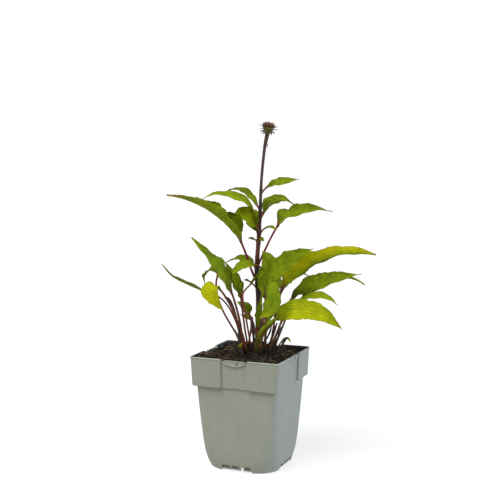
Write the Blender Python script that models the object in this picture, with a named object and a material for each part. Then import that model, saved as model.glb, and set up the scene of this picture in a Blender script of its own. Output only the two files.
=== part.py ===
"""A young purple coneflower plant growing in a square plastic nursery pot.

One Blender unit is a metre. Driving dimensions below are in millimetres.
The origin is under the middle of the whole part's bounding box, at the table. Dimensions are counted from
POT_CENTRE, the middle of the pot's base. The pot's sides lie along X and Y. The plant has its own
directions: u to the right, v away and z up as it is seen from its best side, turned by PLANT_TURN about
the pot's centre line.
"""

import math

import bmesh
import bpy
from mathutils import Matrix, Vector, noise

MM = 0.001
POT_CENTRE = (-17.3, -14.6, 0.0)
GAP = 0.3
PLANT_TURN = math.radians(22.4)

# Pot
POT_HEIGHT = 107.0
WALL = 1.2
FLOOR_LOW = 5.5
FLOOR_TOP = 7.0
BAND_LOW = 79.5
BAND_DEPTH = 1.7
RECESS_HALF = 12.5
RECESS_SLOPE = 1.2
RIM_DIP = 1.4
CORNER_STEPS = 4
# Height, half side and corner radius of the pot's body
BODY = (
    (0.0, 34.4, 22.0),
    (5.0, 35.9, 20.5),
    (14.0, 37.1, 16.5),
    (28.0, 37.8, 12.5),
    (50.0, 38.6, 8.0),
    (66.0, 39.2, 5.5),
    (BAND_LOW, 39.7, 4.0),
)
BAND_BOTTOM_HALF = 42.9
BAND_TOP_HALF = 44.5
LIP = 0.5
LIP_HEIGHT = 1.2
BAND_RADIUS = 3.0
FOOT_WALL = 1.6
TAB_HALF = 11.0
TAB_DROP = 6.0
DRAIN_RADIUS = 4.0
DRAIN_OFFSET = 17.0

# Soil
SOIL_EDGE = 101.0
SOIL_MOUND = 9.5
SOIL_MOUND_RADIUS = 26.0
SOIL_ROUGHNESS = 2.2
SOIL_RINGS = (0.93, 0.8, 0.66, 0.52, 0.38, 0.24, 0.11)
CROWN = (6.0, 3.0)

# Plant
PETIOLE_ROOT = 9.0
HOLE_CLEARANCE = 0.5
BLADE_THICKNESS = 0.75
RIB_DEPTH = 0.9
WIDE_BLADE = 9
STATION_MM = 6.0
SHAPE_POWER = 1.9

# Main stem: u, v, z and radius
STEM = (
    (6, 4, 104, 3.2),
    (6.5, 4, 118, 3.2),
    (7, 3, 156, 2.9),
    (5.3, 3, 187, 2.4),
    (7.0, 1.5, 216, 2.0),
    (8.2, 0, 241, 1.65),
    (9.4, 0, 270, 1.45),
    (12.1, 0, 298, 1.5),
    (14.9, 0, 313, 2.2),
)

# Flower head
HEAD_BASE = (15.1, 0, 313.4)
HEAD_LEAN = 7.0
RECEPTACLE = ((0.0, 2.0), (1.6, 3.0), (3.2, 4.6), (5.0, 5.2), (5.6, 4.4))
DISC_RADIUS = 5.3
DISC_HEIGHT = 4.8
DISC_BASE = 5.9
SCALES = 46
SCALE_LENGTH = 2.3
SCALE_RADIUS = 0.75
# Number of bracts, height of their roots, length, width and how far they bend down
BRACT_WHORLS = (
    (13, 4.6, 4.6, 1.5, 42.0),
    (12, 3.3, 4.9, 1.6, 78.0),
    (9, 1.9, 3.8, 1.4, 105.0),
)

# Leaves that grow from the crown. Each has its route (u, v, z) from the soil to the tip, the index of the
# route point where the blade starts, the blade's width, how far its face leans to the viewer, the fold
# of its halves along the rib, the height of its waves, where it is widest, and its colour.
BASAL_LEAVES = (
    ("basal_leaf_01", ((-8, -6, 117), (-10, -9, 133), (-13, -12, 148), (-18, -16, 165), (-25, -22, 184),
                       (-36, -28, 200), (-54, -36, 219)), 3, 25, 48, 12, 0.8, 0.42, "leaf"),
    ("basal_leaf_02", ((-4, 0, 117), (-6, -1, 129), (-8, -3, 145), (-10, -4, 160), (-16, -4, 176),
                       (-22, -4, 188), (-28, -4, 198)), 3, 16, 42, 14, 0.8, 0.25, "leaf"),
    ("basal_leaf_03", ((-6, -11, 116), (-8, -13, 125), (-13, -17, 139), (-18, -22, 152), (-23, -26, 162),
                       (-28, -30, 170), (-34, -33, 175), (-38, -37, 171), (-34, -40, 163), (-26, -42, 153)),
     5, 15, 20, 8, 0.3, 0.4, "leaf_yellow"),
    ("basal_leaf_04", ((-11, 4, 115), (-13, 5, 130), (-21, 6, 148), (-31, 5, 159), (-45, 3, 165), (-69, -4, 177),
                       (-77, -6, 183), (-84, -8, 192)), 3, 9, 0, 16, 0.5, 0.45, "leaf"),
    ("basal_leaf_05", ((-10, 9, 115), (-17, 12, 126), (-27, 15, 143), (-32, 18, 156), (-34, 21, 169),
                       (-33, 25, 179), (-39, 28, 183), (-46, 32, 176), (-46, 33, 167)),
     5, 9, 10, 12, 0.4, 0.4, "leaf"),
    ("basal_leaf_06", ((-1, -10, 117), (-5, -14, 141), (-8, -17, 160), (-7, -17, 167), (-1, -19, 174),
                       (3, -21, 180), (10, -23, 187)), 4, 7, 25, 12, 0.3, 0.4, "leaf_dark"),
    ("basal_leaf_07", ((-2, 8, 116), (0, 12, 130), (-2, 15, 141), (-5, 17, 147), (-9, 19, 151)),
     2, 9, 30, 14, 0.4, 0.35, "leaf"),
    ("basal_leaf_08", ((2, 16, 115), (3, 20, 125), (1, 26, 132), (-4, 30, 135), (-11, 34, 137)),
     2, 8, 15, 14, 0.3, 0.4, "leaf_dark"),
    ("basal_leaf_09", ((19, 8, 115), (24, 11, 148), (28, 12, 163), (34, 11, 171), (44, 10, 181), (61, 8, 193),
                       (84, 4, 201), (102, 0, 202), (117, -4, 200)), 2, 21, 40, 22, 0.9, 0.4, "leaf_lime"),
    ("basal_leaf_10", ((13, -8, 116), (13, -12, 145), (13, -15, 162), (16, -18, 172), (20, -22, 183),
                       (29, -26, 192), (41, -32, 201), (56, -37, 209)), 2, 26, 55, 12, 0.8, 0.38, "leaf"),
    ("basal_leaf_11", ((9, -5, 116), (11, -6, 140), (14, -6, 157), (17, -6, 177), (18, -7, 188), (16, -8, 197),
                       (12, -10, 205)), 2, 18, 0, 10, 0.5, 0.45, "leaf"),
    ("basal_leaf_12", ((9, -13, 116), (13, -22, 140), (15, -31, 160), (18, -37, 172), (20, -43, 179),
                       (22, -49, 172), (20, -53, 162), (16, -56, 155), (7, -59, 149)),
     2, 15, 0, 10, 0.5, 0.5, "leaf_lime"),
    ("basal_leaf_13", ((5, -18, 116), (13, -26, 131), (22, -31, 143), (28, -35, 150), (35, -39, 153), (48, -42, 154),
                       (62, -46, 151), (72, -48, 145), (82, -49, 137)), 2, 22, 55, 8, 0.5, 0.35, "leaf_yellow"),
    ("basal_leaf_14", ((21, -3, 117), (26, -4, 131), (32, -5, 147), (38, -6, 159), (47, -9, 168), (62, -13, 174),
                       (80, -18, 180), (101, -23, 184)), 3, 23, 42, 14, 0.9, 0.3, "leaf"),
    ("basal_leaf_15", ((24, 6, 115), (35, 9, 141), (47, 13, 155), (68, 17, 169), (90, 20, 175), (101, 22, 173),
                       (110, 23, 168)), 2, 14, 18, 14, 0.6, 0.4, "leaf"),
    ("basal_leaf_16", ((19, -10, 116), (29, -17, 140), (39, -22, 155), (49, -27, 162), (61, -31, 165),
                       (71, -35, 163), (79, -38, 157)), 2, 12, 25, 12, 0.5, 0.4, "leaf_lime"),
    ("basal_leaf_17", ((19, 15, 114), (22, 18, 131), (26, 21, 149), (29, 23, 160), (35, 26, 169), (43, 30, 175),
                       (50, 33, 178), (58, 35, 174)), 4, 8, 10, 12, 0.4, 0.4, "leaf_dark"),
    ("basal_leaf_18", ((27, 11, 112), (31, 10, 117), (35, 9, 118), (38, 8, 114)),
     0, 4, 20, 10, 0.2, 0.4, "leaf_lime"),
    ("basal_leaf_19", ((13, 22, 114), (20, 38, 145), (26, 52, 160), (34, 63, 166), (42, 74, 163)),
     2, 16, 0, 12, 0.7, 0.36, "leaf"),
    ("basal_leaf_20", ((8, 14, 116), (12, 27, 140), (14, 39, 152), (14, 51, 156), (11, 64, 151)),
     2, 13, 0, 12, 0.6, 0.36, "leaf"),
)

# Leaves that grow from the main stem, in the same form. Their first route point is on the stem's axis.
STEM_LEAVES = (
    ("stem_leaf_01", ((8.9, 0, 257), (14, -1, 263), (22, -5, 267), (33, -9, 269), (44, -14, 271)),
     1, 12, 38, 10, 0.4, 0.36, "leaf"),
    ("stem_leaf_02", ((8.2, 0, 240), (6, 3, 245), (0, 8, 253), (-7, 13, 259), (-17, 18, 261), (-25, 22, 258)),
     1, 10, 15, 14, 0.4, 0.4, "leaf_dark"),
    ("stem_leaf_03", ((7.8, 0.5, 231), (3, -4, 239), (-3, -9, 248), (-11, -14, 254), (-22, -18, 257),
                      (-33, -21, 258), (-44, -24, 254)), 1, 17, 38, 14, 0.5, 0.3, "leaf"),
    ("stem_leaf_04", ((6.4, 3, 170), (0, 0, 186), (-4, -2, 198), (-9, -4, 211), (-13, -6, 219), (-21, -9, 228),
                      (-31, -13, 237), (-42, -18, 245), (-59, -24, 253), (-77, -28, 257)),
     3, 25, 12, 52, 0.7, 0.25, "leaf"),
    ("stem_leaf_05", ((5.3, 2.8, 187), (12, -2, 203), (18, -5, 216), (24, -8, 227), (30, -11, 235),
                      (43, -16, 241), (58, -22, 244), (74, -28, 242)), 3, 19, 42, 20, 0.9, 0.25, "leaf"),
    ("stem_leaf_06", ((8, 0.2, 236), (12, 3, 241), (15, 7, 246), (22, 14, 250), (32, 20, 251), (44, 27, 244)),
     1, 13, 30, 16, 0.5, 0.36, "leaf"),
    ("stem_leaf_07", ((7.8, 0.4, 232), (12, -3, 240), (14, -6, 245), (16, -10, 249), (14, -13, 254)),
     1, 9, 10, 10, 0.3, 0.4, "leaf_dark"),
    ("stem_leaf_08", ((7.2, 1.2, 220), (5, -2, 227), (2, -4, 231), (-2, -7, 236), (-9, -11, 239), (-16, -15, 238)),
     2, 14, 40, 18, 0.5, 0.4, "leaf_dark"),
    ("stem_leaf_09", ((7, 1.5, 215), (5, 1, 222), (0, 1, 229), (-7, 0, 235)), 1, 6, 30, 12, 0.3, 0.4, "leaf_lime"),
    ("stem_leaf_10", ((7.2, 1.4, 218), (12, -7, 225), (17, -13, 227), (24, -18, 225)),
     1, 5, 25, 12, 0.3, 0.4, "leaf"),
    ("stem_leaf_11", ((6.6, 1.9, 208), (4, -2, 214), (-3, -6, 216)), 1, 5, 25, 12, 0.2, 0.4, "leaf"),
    ("stem_leaf_12", ((5.7, 3, 181), (2, 9, 190), (-4, 14, 195), (-15, 20, 195), (-25, 26, 190)),
     1, 11, 20, 14, 0.5, 0.4, "leaf"),
    ("stem_leaf_13", ((6.3, 3, 166), (-1, 1, 174), (-7, -2, 176)), 1, 4, 25, 12, 0.2, 0.4, "leaf"),
    ("stem_leaf_14", ((5.6, 3, 178), (9, -2, 188), (4, -8, 194), (-3, -13, 195), (-9, -17, 193), (-15, -20, 187)),
     2, 13, 25, 12, 0.8, 0.4, "leaf"),
)

# Withered stalks that stand in the crown: route and radius
STALKS = (
    ("withered_stalk_01", ((-9, -1, 116), (-16, 0, 145), (-21, -1, 157), (-25, -3, 159)), 1.3),
    ("withered_stalk_02", ((-10, -17, 115), (-12, -19, 123), (-16, -21, 132)), 1.2),
    ("withered_stalk_03", ((29, 1, 112), (31, 1, 116), (34, 2, 120)), 1.3),
)

COLOURS = {
    "pot_outside": ((0.29, 0.315, 0.265), 0.5),
    "pot_inside": ((0.012, 0.012, 0.012), 0.6),
    "soil": ((0.022, 0.014, 0.010), 0.95),
    "stem": ((0.075, 0.028, 0.035), 0.55),
    "petiole": ((0.16, 0.045, 0.035), 0.5),
    "leaf": ((0.16, 0.27, 0.015), 0.5),
    "leaf_dark": ((0.07, 0.14, 0.02), 0.5),
    "leaf_lime": ((0.32, 0.42, 0.015), 0.5),
    "leaf_yellow": ((0.48, 0.50, 0.010), 0.5),
    "withered": ((0.055, 0.028, 0.018), 0.8),
    "bract": ((0.07, 0.10, 0.025), 0.6),
    "disc": ((0.20, 0.055, 0.025), 0.7),
}


def clear_scene():
    for obj in list(bpy.data.objects):
        bpy.data.objects.remove(obj)


def material(name):
    found = bpy.data.materials.get(name)
    if found:
        return found
    colour, roughness = COLOURS[name]
    made = bpy.data.materials.new(name)
    made.use_nodes = True
    shader = made.node_tree.nodes["Principled BSDF"]
    shader.inputs["Base Color"].default_value = (*colour, 1.0)
    shader.inputs["Roughness"].default_value = roughness
    shader.inputs["Metallic"].default_value = 0.0
    return made


def add_object(name, points, faces, materials, collection=None):
    """One closed mesh object from points in millimetres. Faces are (corners, material index)."""
    mesh = bpy.data.meshes.new(name)
    mesh.from_pydata([Vector(p) * MM for p in points], [], [corners for corners, _ in faces])
    for name_of_material in materials:
        mesh.materials.append(material(name_of_material))
    mesh.polygons.foreach_set("material_index", [index for _, index in faces])
    work = bmesh.new()
    work.from_mesh(mesh)
    bmesh.ops.recalc_face_normals(work, faces=work.faces)
    work.to_mesh(mesh)
    work.free()
    mesh.shade_smooth()
    mesh.set_sharp_from_angle(angle=math.radians(40))
    obj = bpy.data.objects.new(name, mesh)
    obj.location = Vector(POT_CENTRE) * MM
    (collection or bpy.context.scene.collection).objects.link(obj)
    return obj


def loft(rings, inside_from=None):
    """Faces that join equal rings of points in order, with both ends capped."""
    size = len(rings[0])
    points = [p for ring in rings for p in ring]
    faces = []
    for i in range(len(rings) - 1):
        index = 1 if inside_from is not None and i >= inside_from else 0
        for k in range(size):
            after = (k + 1) % size
            faces.append(((i * size + k, i * size + after, (i + 1) * size + after, (i + 1) * size + k), index))
    last = (len(rings) - 1) * size
    faces.append((tuple(range(size)), 0))
    faces.append((tuple(last + k for k in range(size)), 0 if inside_from is None else 1))
    return points, faces


def apply_boolean(obj, tools, operation, solver="EXACT"):
    """Joins or cuts obj with every object of the collection, applies it and removes the collection's objects."""
    modifier = obj.modifiers.new("boolean", "BOOLEAN")
    modifier.operation = operation
    modifier.operand_type = "COLLECTION"
    modifier.collection = tools
    modifier.solver = solver
    graph = bpy.context.evaluated_depsgraph_get()
    made = bpy.data.meshes.new_from_object(obj.evaluated_get(graph))
    obj.modifiers.clear()
    obj.data = made
    for tool in list(tools.objects):
        bpy.data.objects.remove(tool)
    bpy.data.collections.remove(tools)


def tool_collection(name):
    made = bpy.data.collections.new(name)
    bpy.context.scene.collection.children.link(made)
    return made


# Pot and soil


def square_ring(half, radius, z, recess=0.0, recess_half=RECESS_HALF, dip=0.0):
    """A rounded square at height z whose four sides are set back by recess over their middle."""
    ring = []
    for side in range(4):
        turn = Matrix.Rotation(side * math.pi / 2, 3, "Z")
        outer = recess_half + RECESS_SLOPE
        flat = (
            (-outer, -half, z),
            (-recess_half, recess - half, z - dip),
            (recess_half, recess - half, z - dip),
            (outer, -half, z),
        )
        centre = half - radius
        arc = []
        for step in range(CORNER_STEPS + 1):
            angle = -math.pi / 2 * (1 - step / CORNER_STEPS)
            arc.append((centre + radius * math.cos(angle), -centre + radius * math.sin(angle), z))
        ring.extend(turn @ Vector(p) for p in (*flat, *arc))
    return ring


def body_at(z):
    """Half side and corner radius of the pot's body at height z."""
    for (z0, half0, radius0), (z1, half1, radius1) in zip(BODY, BODY[1:]):
        if z <= z1:
            share = (z - z0) / (z1 - z0)
            return half0 + share * (half1 - half0), radius0 + share * (radius1 - radius0)
    return BODY[-1][1:]


def inner_ring(z, inset):
    half, radius = body_at(z)
    return square_ring(half - inset, radius - inset, z)


def box_tool(name, low, high, side, collection):
    corners = [(x, y, z) for z in (low[2], high[2]) for x, y in (
        (low[0], low[1]), (high[0], low[1]), (high[0], high[1]), (low[0], high[1]))]
    turn = Matrix.Rotation(side * math.pi / 2, 3, "Z")
    points, faces = loft([[turn @ Vector(c) for c in corners[:4]], [turn @ Vector(c) for c in corners[4:]]])
    return add_object(name, points, faces, ["pot_outside"], collection)


def prism(centre, direction, radius, length, sides=8):
    """Points and faces of a straight prism that starts at centre."""
    axis = Vector(direction).normalized()
    across = axis.orthogonal().normalized()
    up = axis.cross(across)
    rings = []
    for along in (0.0, length):
        rings.append([
            Vector(centre) + axis * along
            + (across * math.cos(2 * math.pi * k / sides) + up * math.sin(2 * math.pi * k / sides)) * radius
            for k in range(sides)
        ])
    return loft(rings)


def make_pot():
    half, radius = body_at(0.0)
    foot_half, foot_radius = half - FOOT_WALL, radius - FOOT_WALL
    low_half, low_radius = body_at(FLOOR_LOW)
    band_in = dict(recess=BAND_DEPTH, recess_half=RECESS_HALF + RECESS_SLOPE)
    rings = [
        square_ring(low_half - FOOT_WALL, low_radius - FOOT_WALL, FLOOR_LOW),
        square_ring(foot_half, foot_radius, 0.0),
    ]
    rings += [square_ring(h, r, z) for z, h, r in BODY]
    rings += [
        square_ring(BAND_BOTTOM_HALF, BAND_RADIUS + 0.6, BAND_LOW, BAND_DEPTH),
        square_ring(BAND_TOP_HALF - LIP, BAND_RADIUS, POT_HEIGHT - LIP_HEIGHT, BAND_DEPTH, dip=RIM_DIP),
        square_ring(BAND_TOP_HALF, BAND_RADIUS, POT_HEIGHT, BAND_DEPTH, dip=RIM_DIP),
    ]
    inside_from = len(rings)
    rings += [
        square_ring(BAND_TOP_HALF - WALL - 0.2, BAND_RADIUS - 1, POT_HEIGHT, dip=RIM_DIP, **band_in),
        square_ring(BAND_BOTTOM_HALF - WALL, BAND_RADIUS - 0.6, BAND_LOW + WALL, **band_in),
    ]
    rings += [inner_ring(z, WALL) for z in (BAND_LOW + WALL, 66.0, 50.0, 28.0, 14.0, FLOOR_TOP)]
    points, faces = loft(rings, inside_from)
    pot = add_object("pot", points, faces, ["pot_outside", "pot_inside"])
    tabs = tool_collection("tabs")
    for side in range(4):
        add_tab(side, tabs)
    apply_boolean(pot, tabs, "UNION")
    cuts = tool_collection("cuts")
    for side in range(4):
        reach = (-half - 4, -half + 4)
        panel = (-half - 4, -half + 0.2)
        box_tool(f"edge_{side}", (-16, reach[0], -1), (15, reach[1], 1.4), side, cuts)
        box_tool(f"notch_{side}", (3.4, reach[0], -1), (6.6, reach[1], 4.6), side, cuts)
        for index, (x0, x1) in enumerate(((-15, -6.6), (-5.4, 2.2), (7.8, 14))):
            box_tool(f"panel_{side}_{index}", (x0, panel[0], 0.5), (x1, panel[1], 5.0), side, cuts)
    drains = [(x, y) for x in (-DRAIN_OFFSET, DRAIN_OFFSET) for y in (-DRAIN_OFFSET, DRAIN_OFFSET)]
    for index, (x, y) in enumerate([*drains, (0.0, 0.0)]):
        points, faces = prism((x, y, FLOOR_LOW - 2), (0, 0, 1), DRAIN_RADIUS, 5.0)
        add_object(f"drain_{index}", points, faces, ["pot_outside"], cuts)
    apply_boolean(pot, cuts, "DIFFERENCE")


def add_tab(side, collection):
    """The half-round tab that hangs from the rim in each recess."""
    steps = 8
    turn = Matrix.Rotation(side * math.pi / 2, 3, "Z")
    top = POT_HEIGHT - 0.6
    rings = []
    for y_top, y_low, grow in ((-BAND_TOP_HALF + 0.4, -BAND_TOP_HALF - 0.1, 0.0),
                               (-BAND_TOP_HALF + 2.3, -BAND_TOP_HALF + 2.6, 0.4)):
        ring = []
        for step in range(steps + 1):
            angle = math.pi * step / steps
            drop = (TAB_DROP - grow) * math.sin(angle)
            y = y_top + (y_low - y_top) * drop / TAB_DROP
            ring.append(turn @ Vector((-(TAB_HALF - grow) * math.cos(angle), y, top - drop)))
        rings.append(ring)
    points, faces = loft(rings)
    add_object(f"tab_{side}", points, faces, ["pot_outside"], collection)


def plant_point(u, v, z):
    """A point given in the plant's own directions, in the pot's frame."""
    return Matrix.Rotation(PLANT_TURN, 3, "Z") @ Vector((u, v, z))


def soil_height(x, y):
    crown = plant_point(*CROWN, 0)
    away = math.hypot(x - crown.x, y - crown.y)
    mound = SOIL_MOUND * math.exp(-((away / SOIL_MOUND_RADIUS) ** 2))
    rough = noise.noise(Vector((x * 0.11, y * 0.11, 0.4))) + 0.6 * noise.noise(Vector((x * 0.31, y * 0.31, 3.7)))
    return SOIL_EDGE + mound + SOIL_ROUGHNESS * rough


def make_soil(holes):
    inset = WALL + GAP
    band_in = dict(recess=BAND_DEPTH, recess_half=RECESS_HALF + RECESS_SLOPE + GAP)
    share = (SOIL_EDGE - BAND_LOW) / (POT_HEIGHT - BAND_LOW)
    edge_half = BAND_BOTTOM_HALF + share * (BAND_TOP_HALF - LIP - BAND_BOTTOM_HALF) - inset - 0.1
    rings = [inner_ring(z, inset) for z in (FLOOR_TOP + GAP, 14.0, 28.0, 50.0, 66.0, BAND_LOW)]
    step = BAND_LOW + WALL + GAP
    rings.append([Vector((p.x, p.y, step)) for p in rings[-1]])
    rings.append(square_ring(BAND_BOTTOM_HALF - inset, BAND_RADIUS - 0.9, step, **band_in))
    edge = square_ring(edge_half, BAND_RADIUS - 0.9, 0.0, **band_in)
    crown = plant_point(*CROWN, 0)
    for spread in (1.0, *SOIL_RINGS):
        ring = [crown + (p - crown) * spread for p in edge]
        rings.append([Vector((p.x, p.y, soil_height(p.x, p.y))) for p in ring])
    points, faces = loft(rings)
    soil = add_object("soil", points, faces, ["soil"])
    cuts = tool_collection("holes")
    for index, (start, direction, radius, length) in enumerate(holes):
        points, faces = prism(start, direction, radius, length)
        add_object(f"hole_{index}", points, faces, ["soil"], cuts)
    apply_boolean(soil, cuts, "DIFFERENCE")


# Curves


def curve_through(points):
    """A Catmull-Rom curve through the points: a list of (distance along, position) and each point's distance."""
    ends = [points[0] * 2 - points[1], *points, points[-1] * 2 - points[-2]]
    samples = [(0.0, points[0])]
    stops = [0.0]
    for i in range(1, len(ends) - 2):
        before, start, end, after = ends[i - 1 : i + 3]
        for step in range(1, 13):
            t = step / 12
            p = 0.5 * (
                2 * start + (end - before) * t + (2 * before - 5 * start + 4 * end - after) * t * t
                + (3 * start - before - 3 * end + after) * t ** 3
            )
            samples.append((samples[-1][0] + (p - samples[-1][1]).length, p))
        stops.append(samples[-1][0])
    return samples, stops


def point_at(samples, distance):
    for (d0, p0), (d1, p1) in zip(samples, samples[1:]):
        if distance <= d1:
            return p0.lerp(p1, (distance - d0) / max(d1 - d0, 1e-9))
    return samples[-1][1]


def tangent_at(samples, distance):
    reach = 1.2
    return (point_at(samples, distance + reach) - point_at(samples, max(distance - reach, 0.0))).normalized()


def spread_stations(start, end, spacing):
    count = max(2, round((end - start) / spacing))
    return [start + (end - start) * k / count for k in range(count)]


def make_tube(name, points, radii, colour, sides=8, spacing=12.0):
    samples, stops = curve_through(points)
    rings = []
    for i in range(len(points) - 1):
        for distance in spread_stations(stops[i], stops[i + 1], spacing):
            share = (distance - stops[i]) / (stops[i + 1] - stops[i])
            rings.append((distance, radii[i] + share * (radii[i + 1] - radii[i])))
    rings.append((stops[-1], radii[-1]))
    sections = []
    for distance, radius in rings:
        centre = point_at(samples, distance)
        tangent = tangent_at(samples, distance)
        across = (Vector((1, 0, 0)) - tangent * tangent.x).normalized()
        up = tangent.cross(across)
        sections.append([
            centre + (across * math.cos(2 * math.pi * k / sides) + up * math.sin(2 * math.pi * k / sides)) * radius
            for k in range(sides)
        ])
    points, faces = loft(sections)
    return add_object(name, points, faces, [colour])


# Leaves


def blade_width(share, peak):
    """Width of a lance-shaped blade that is widest at peak, as a share of its largest."""
    if share <= 0 or share >= 1:
        return 0.0
    low = (share / peak) ** (SHAPE_POWER * peak)
    high = ((1 - share) / (1 - peak)) ** (SHAPE_POWER * (1 - peak))
    return low * high


def smooth(share):
    share = min(max(share, 0.0), 1.0)
    return share * share * (3 - 2 * share)


def leaf_section(centre, side, normal, width, radius, fold, wave, blade, rows):
    """Upper and lower points of one section. blade is 0 on the stalk and 1 on the blade."""
    upper, lower = [], []
    for row in range(rows):
        s = 2 * row / (rows - 1) - 1
        lift = width * math.sin(fold) * abs(s) ** 1.2 + wave * s * s * (1 if s > 0 else -1)
        across = s * width * math.cos(fold * abs(s))
        stalk_top = radius * (0.30 + 0.25 * abs(s))
        rib = RIB_DEPTH * max(0.0, 1 - 2.2 * abs(s)) * min(1.0, radius)
        stalk_depth = radius * (0.5 + 1.0 * math.sqrt(max(0.0, 1 - s * s)))
        height = lift * blade + stalk_top * (1 - blade)
        depth = (BLADE_THICKNESS + rib) * blade + stalk_depth * (1 - blade)
        base = centre + side * across + normal * height
        upper.append(base)
        lower.append(base - normal * depth)
    return upper, lower


def leaf_faces(sections, rows, stalk_sections):
    """Triangles of a leaf, split alike above and below so that a thin waved blade doesn't cross itself."""
    points = [p for upper, lower in sections for p in (*upper, *lower)]
    size = 2 * rows
    faces = []
    for i in range(len(sections) - 1):
        index = 1 if i < stalk_sections else 0
        here, there = i * size, (i + 1) * size
        for k in range(rows - 1):
            for shift, flip in ((0, False), (rows, True)):
                a, b = here + shift + k, here + shift + k + 1
                c, d = there + shift + k + 1, there + shift + k
                pair = ((a, b, c), (a, c, d)) if k < rows // 2 else ((a, b, d), (b, c, d))
                faces.extend((tri[::-1] if flip else tri, index) for tri in pair)
        for k in (0, rows - 1):
            a, b, c, d = here + k, there + k, there + rows + k, here + rows + k
            faces.extend((((a, b, c), index), ((a, c, d), index)))
    for start, index in ((0, 1), ((len(sections) - 1) * size, 0)):
        for k in range(rows - 1):
            a, b = start + k, start + k + 1
            c, d = start + rows + k + 1, start + rows + k
            faces.extend((((a, b, c), index), ((a, c, d), index)))
    return points, faces


def leaf_stations(start, blade_start, end, width):
    """Distances of a leaf's sections along its route: those of the stalk and those of the blade."""
    spacing = STATION_MM if width >= WIDE_BLADE else STATION_MM * 0.8
    stalk = spread_stations(start, blade_start, 1.6 * spacing)
    teeth = max(6, 2 * round((end - blade_start) / spacing / 2))
    step = (end - blade_start) / teeth
    blade = [blade_start + step * k for k in range(teeth)]
    return stalk, [*blade, end - 0.4 * step, end]


def make_leaf(spec, root=None, stem=None):
    """A leaf with its stalk as one solid. root is the stalk's end in the soil, stem the stem that it grows from."""
    name, route, blade_from, width, lean, fold, wave, peak, colour = spec
    points = [plant_point(*p) for p in route]
    samples, stops = curve_through(points)
    rows = 5 if width >= WIDE_BLADE else 3
    radius = 1.0 + 0.025 * width
    end = stops[-1]
    blade_start = stops[blade_from]
    facing = math.copysign(math.radians(lean), route[-1][0] - route[0][0])
    along = points[-1] - points[0]
    flat_side = Vector((along.x, along.y, 0)).cross(Vector((0, 0, 1))).normalized()

    def section(distance, tooth):
        centre, tangent = point_at(samples, distance), tangent_at(samples, distance)
        side = (flat_side - tangent * flat_side.dot(tangent)).normalized()
        share = (distance - blade_start) / (end - blade_start)
        side = Matrix.Rotation(facing * smooth((share + 0.5) / 0.7), 3, tangent) @ side
        on_blade = smooth(share / 0.12)
        thin = radius * (1 - 0.55 * max(share, 0.0))
        half = 0.5 * width * blade_width(share, peak) * tooth
        half = max(half, radius * (1 - 0.8 * max(share, 0.0)), 0.4)
        ripple = wave * math.sin(9 * share + len(name) + width) * on_blade
        shape = (half, thin, math.radians(fold), ripple, on_blade, rows)
        return leaf_section(centre, side, side.cross(tangent), *shape)

    start = 0.0
    if stem is not None:
        while clearance(section(start, 1.0), stem) < GAP:
            start += 0.1
        blade_start = max(blade_start, start + 2)
    stalk, blade = leaf_stations(start, blade_start, end, width)
    sections = [section(d, 1.06 if k % 2 else 0.94) for k, d in enumerate([*stalk, *blade])]
    stalk_sections = len(stalk)
    if root is not None:
        shift = root - points[0]
        sections.insert(0, tuple([p + shift for p in row] for row in sections[0]))
        stalk_sections += 1
    points, faces = leaf_faces(sections, rows, stalk_sections)
    add_object(name, points, faces, [colour, "petiole"])
    return radius


def clearance(section, stem):
    """The least gap between a section's outline and the stem, given as its samples and stops."""
    samples, stops = stem
    upper, lower = section
    ring = [*upper, *lower[::-1]]
    outline = ring + [(p + q) / 2 for p, q in zip(ring, ring[1:] + ring[:1])]
    gaps = []
    for point in outline:
        distance, nearest = min(samples, key=lambda sample: (sample[1] - point).length)
        gaps.append((nearest - point).length - stem_radius_at(distance, stops))
    return min(gaps)


def soil_root(points):
    """Where a stalk ends under the soil, below and a little inwards from its first point."""
    back = (points[0] - points[1]).normalized()
    return points[0] + (back + Vector((0, 0, -0.8))).normalized() * PETIOLE_ROOT


def hole_for(root, top, radius):
    """A straight hole round a stalk from below its root to above the soil."""
    direction = (top - root).normalized()
    return root - direction * 1.0, direction, radius * 1.12 + HOLE_CLEARANCE, (top - root).length + 3.0


def stem_radius_at(distance, stops):
    for i in range(len(stops) - 1):
        if distance <= stops[i + 1]:
            share = (distance - stops[i]) / (stops[i + 1] - stops[i])
            return STEM[i][3] + share * (STEM[i + 1][3] - STEM[i][3])
    return STEM[-1][3]


# Flower head


def head_matrix():
    base = plant_point(*HEAD_BASE)
    lean = Matrix.Rotation(math.radians(HEAD_LEAN), 4, plant_point(0, 1, 0))
    return Matrix.Translation(base) @ lean


def place(points):
    matrix = head_matrix()
    return [matrix @ Vector(p) for p in points]


def turned_rings(profile, sides=14):
    return [
        [(r * math.cos(2 * math.pi * k / sides), r * math.sin(2 * math.pi * k / sides), z) for k in range(sides)]
        for z, r in profile
    ]


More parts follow.
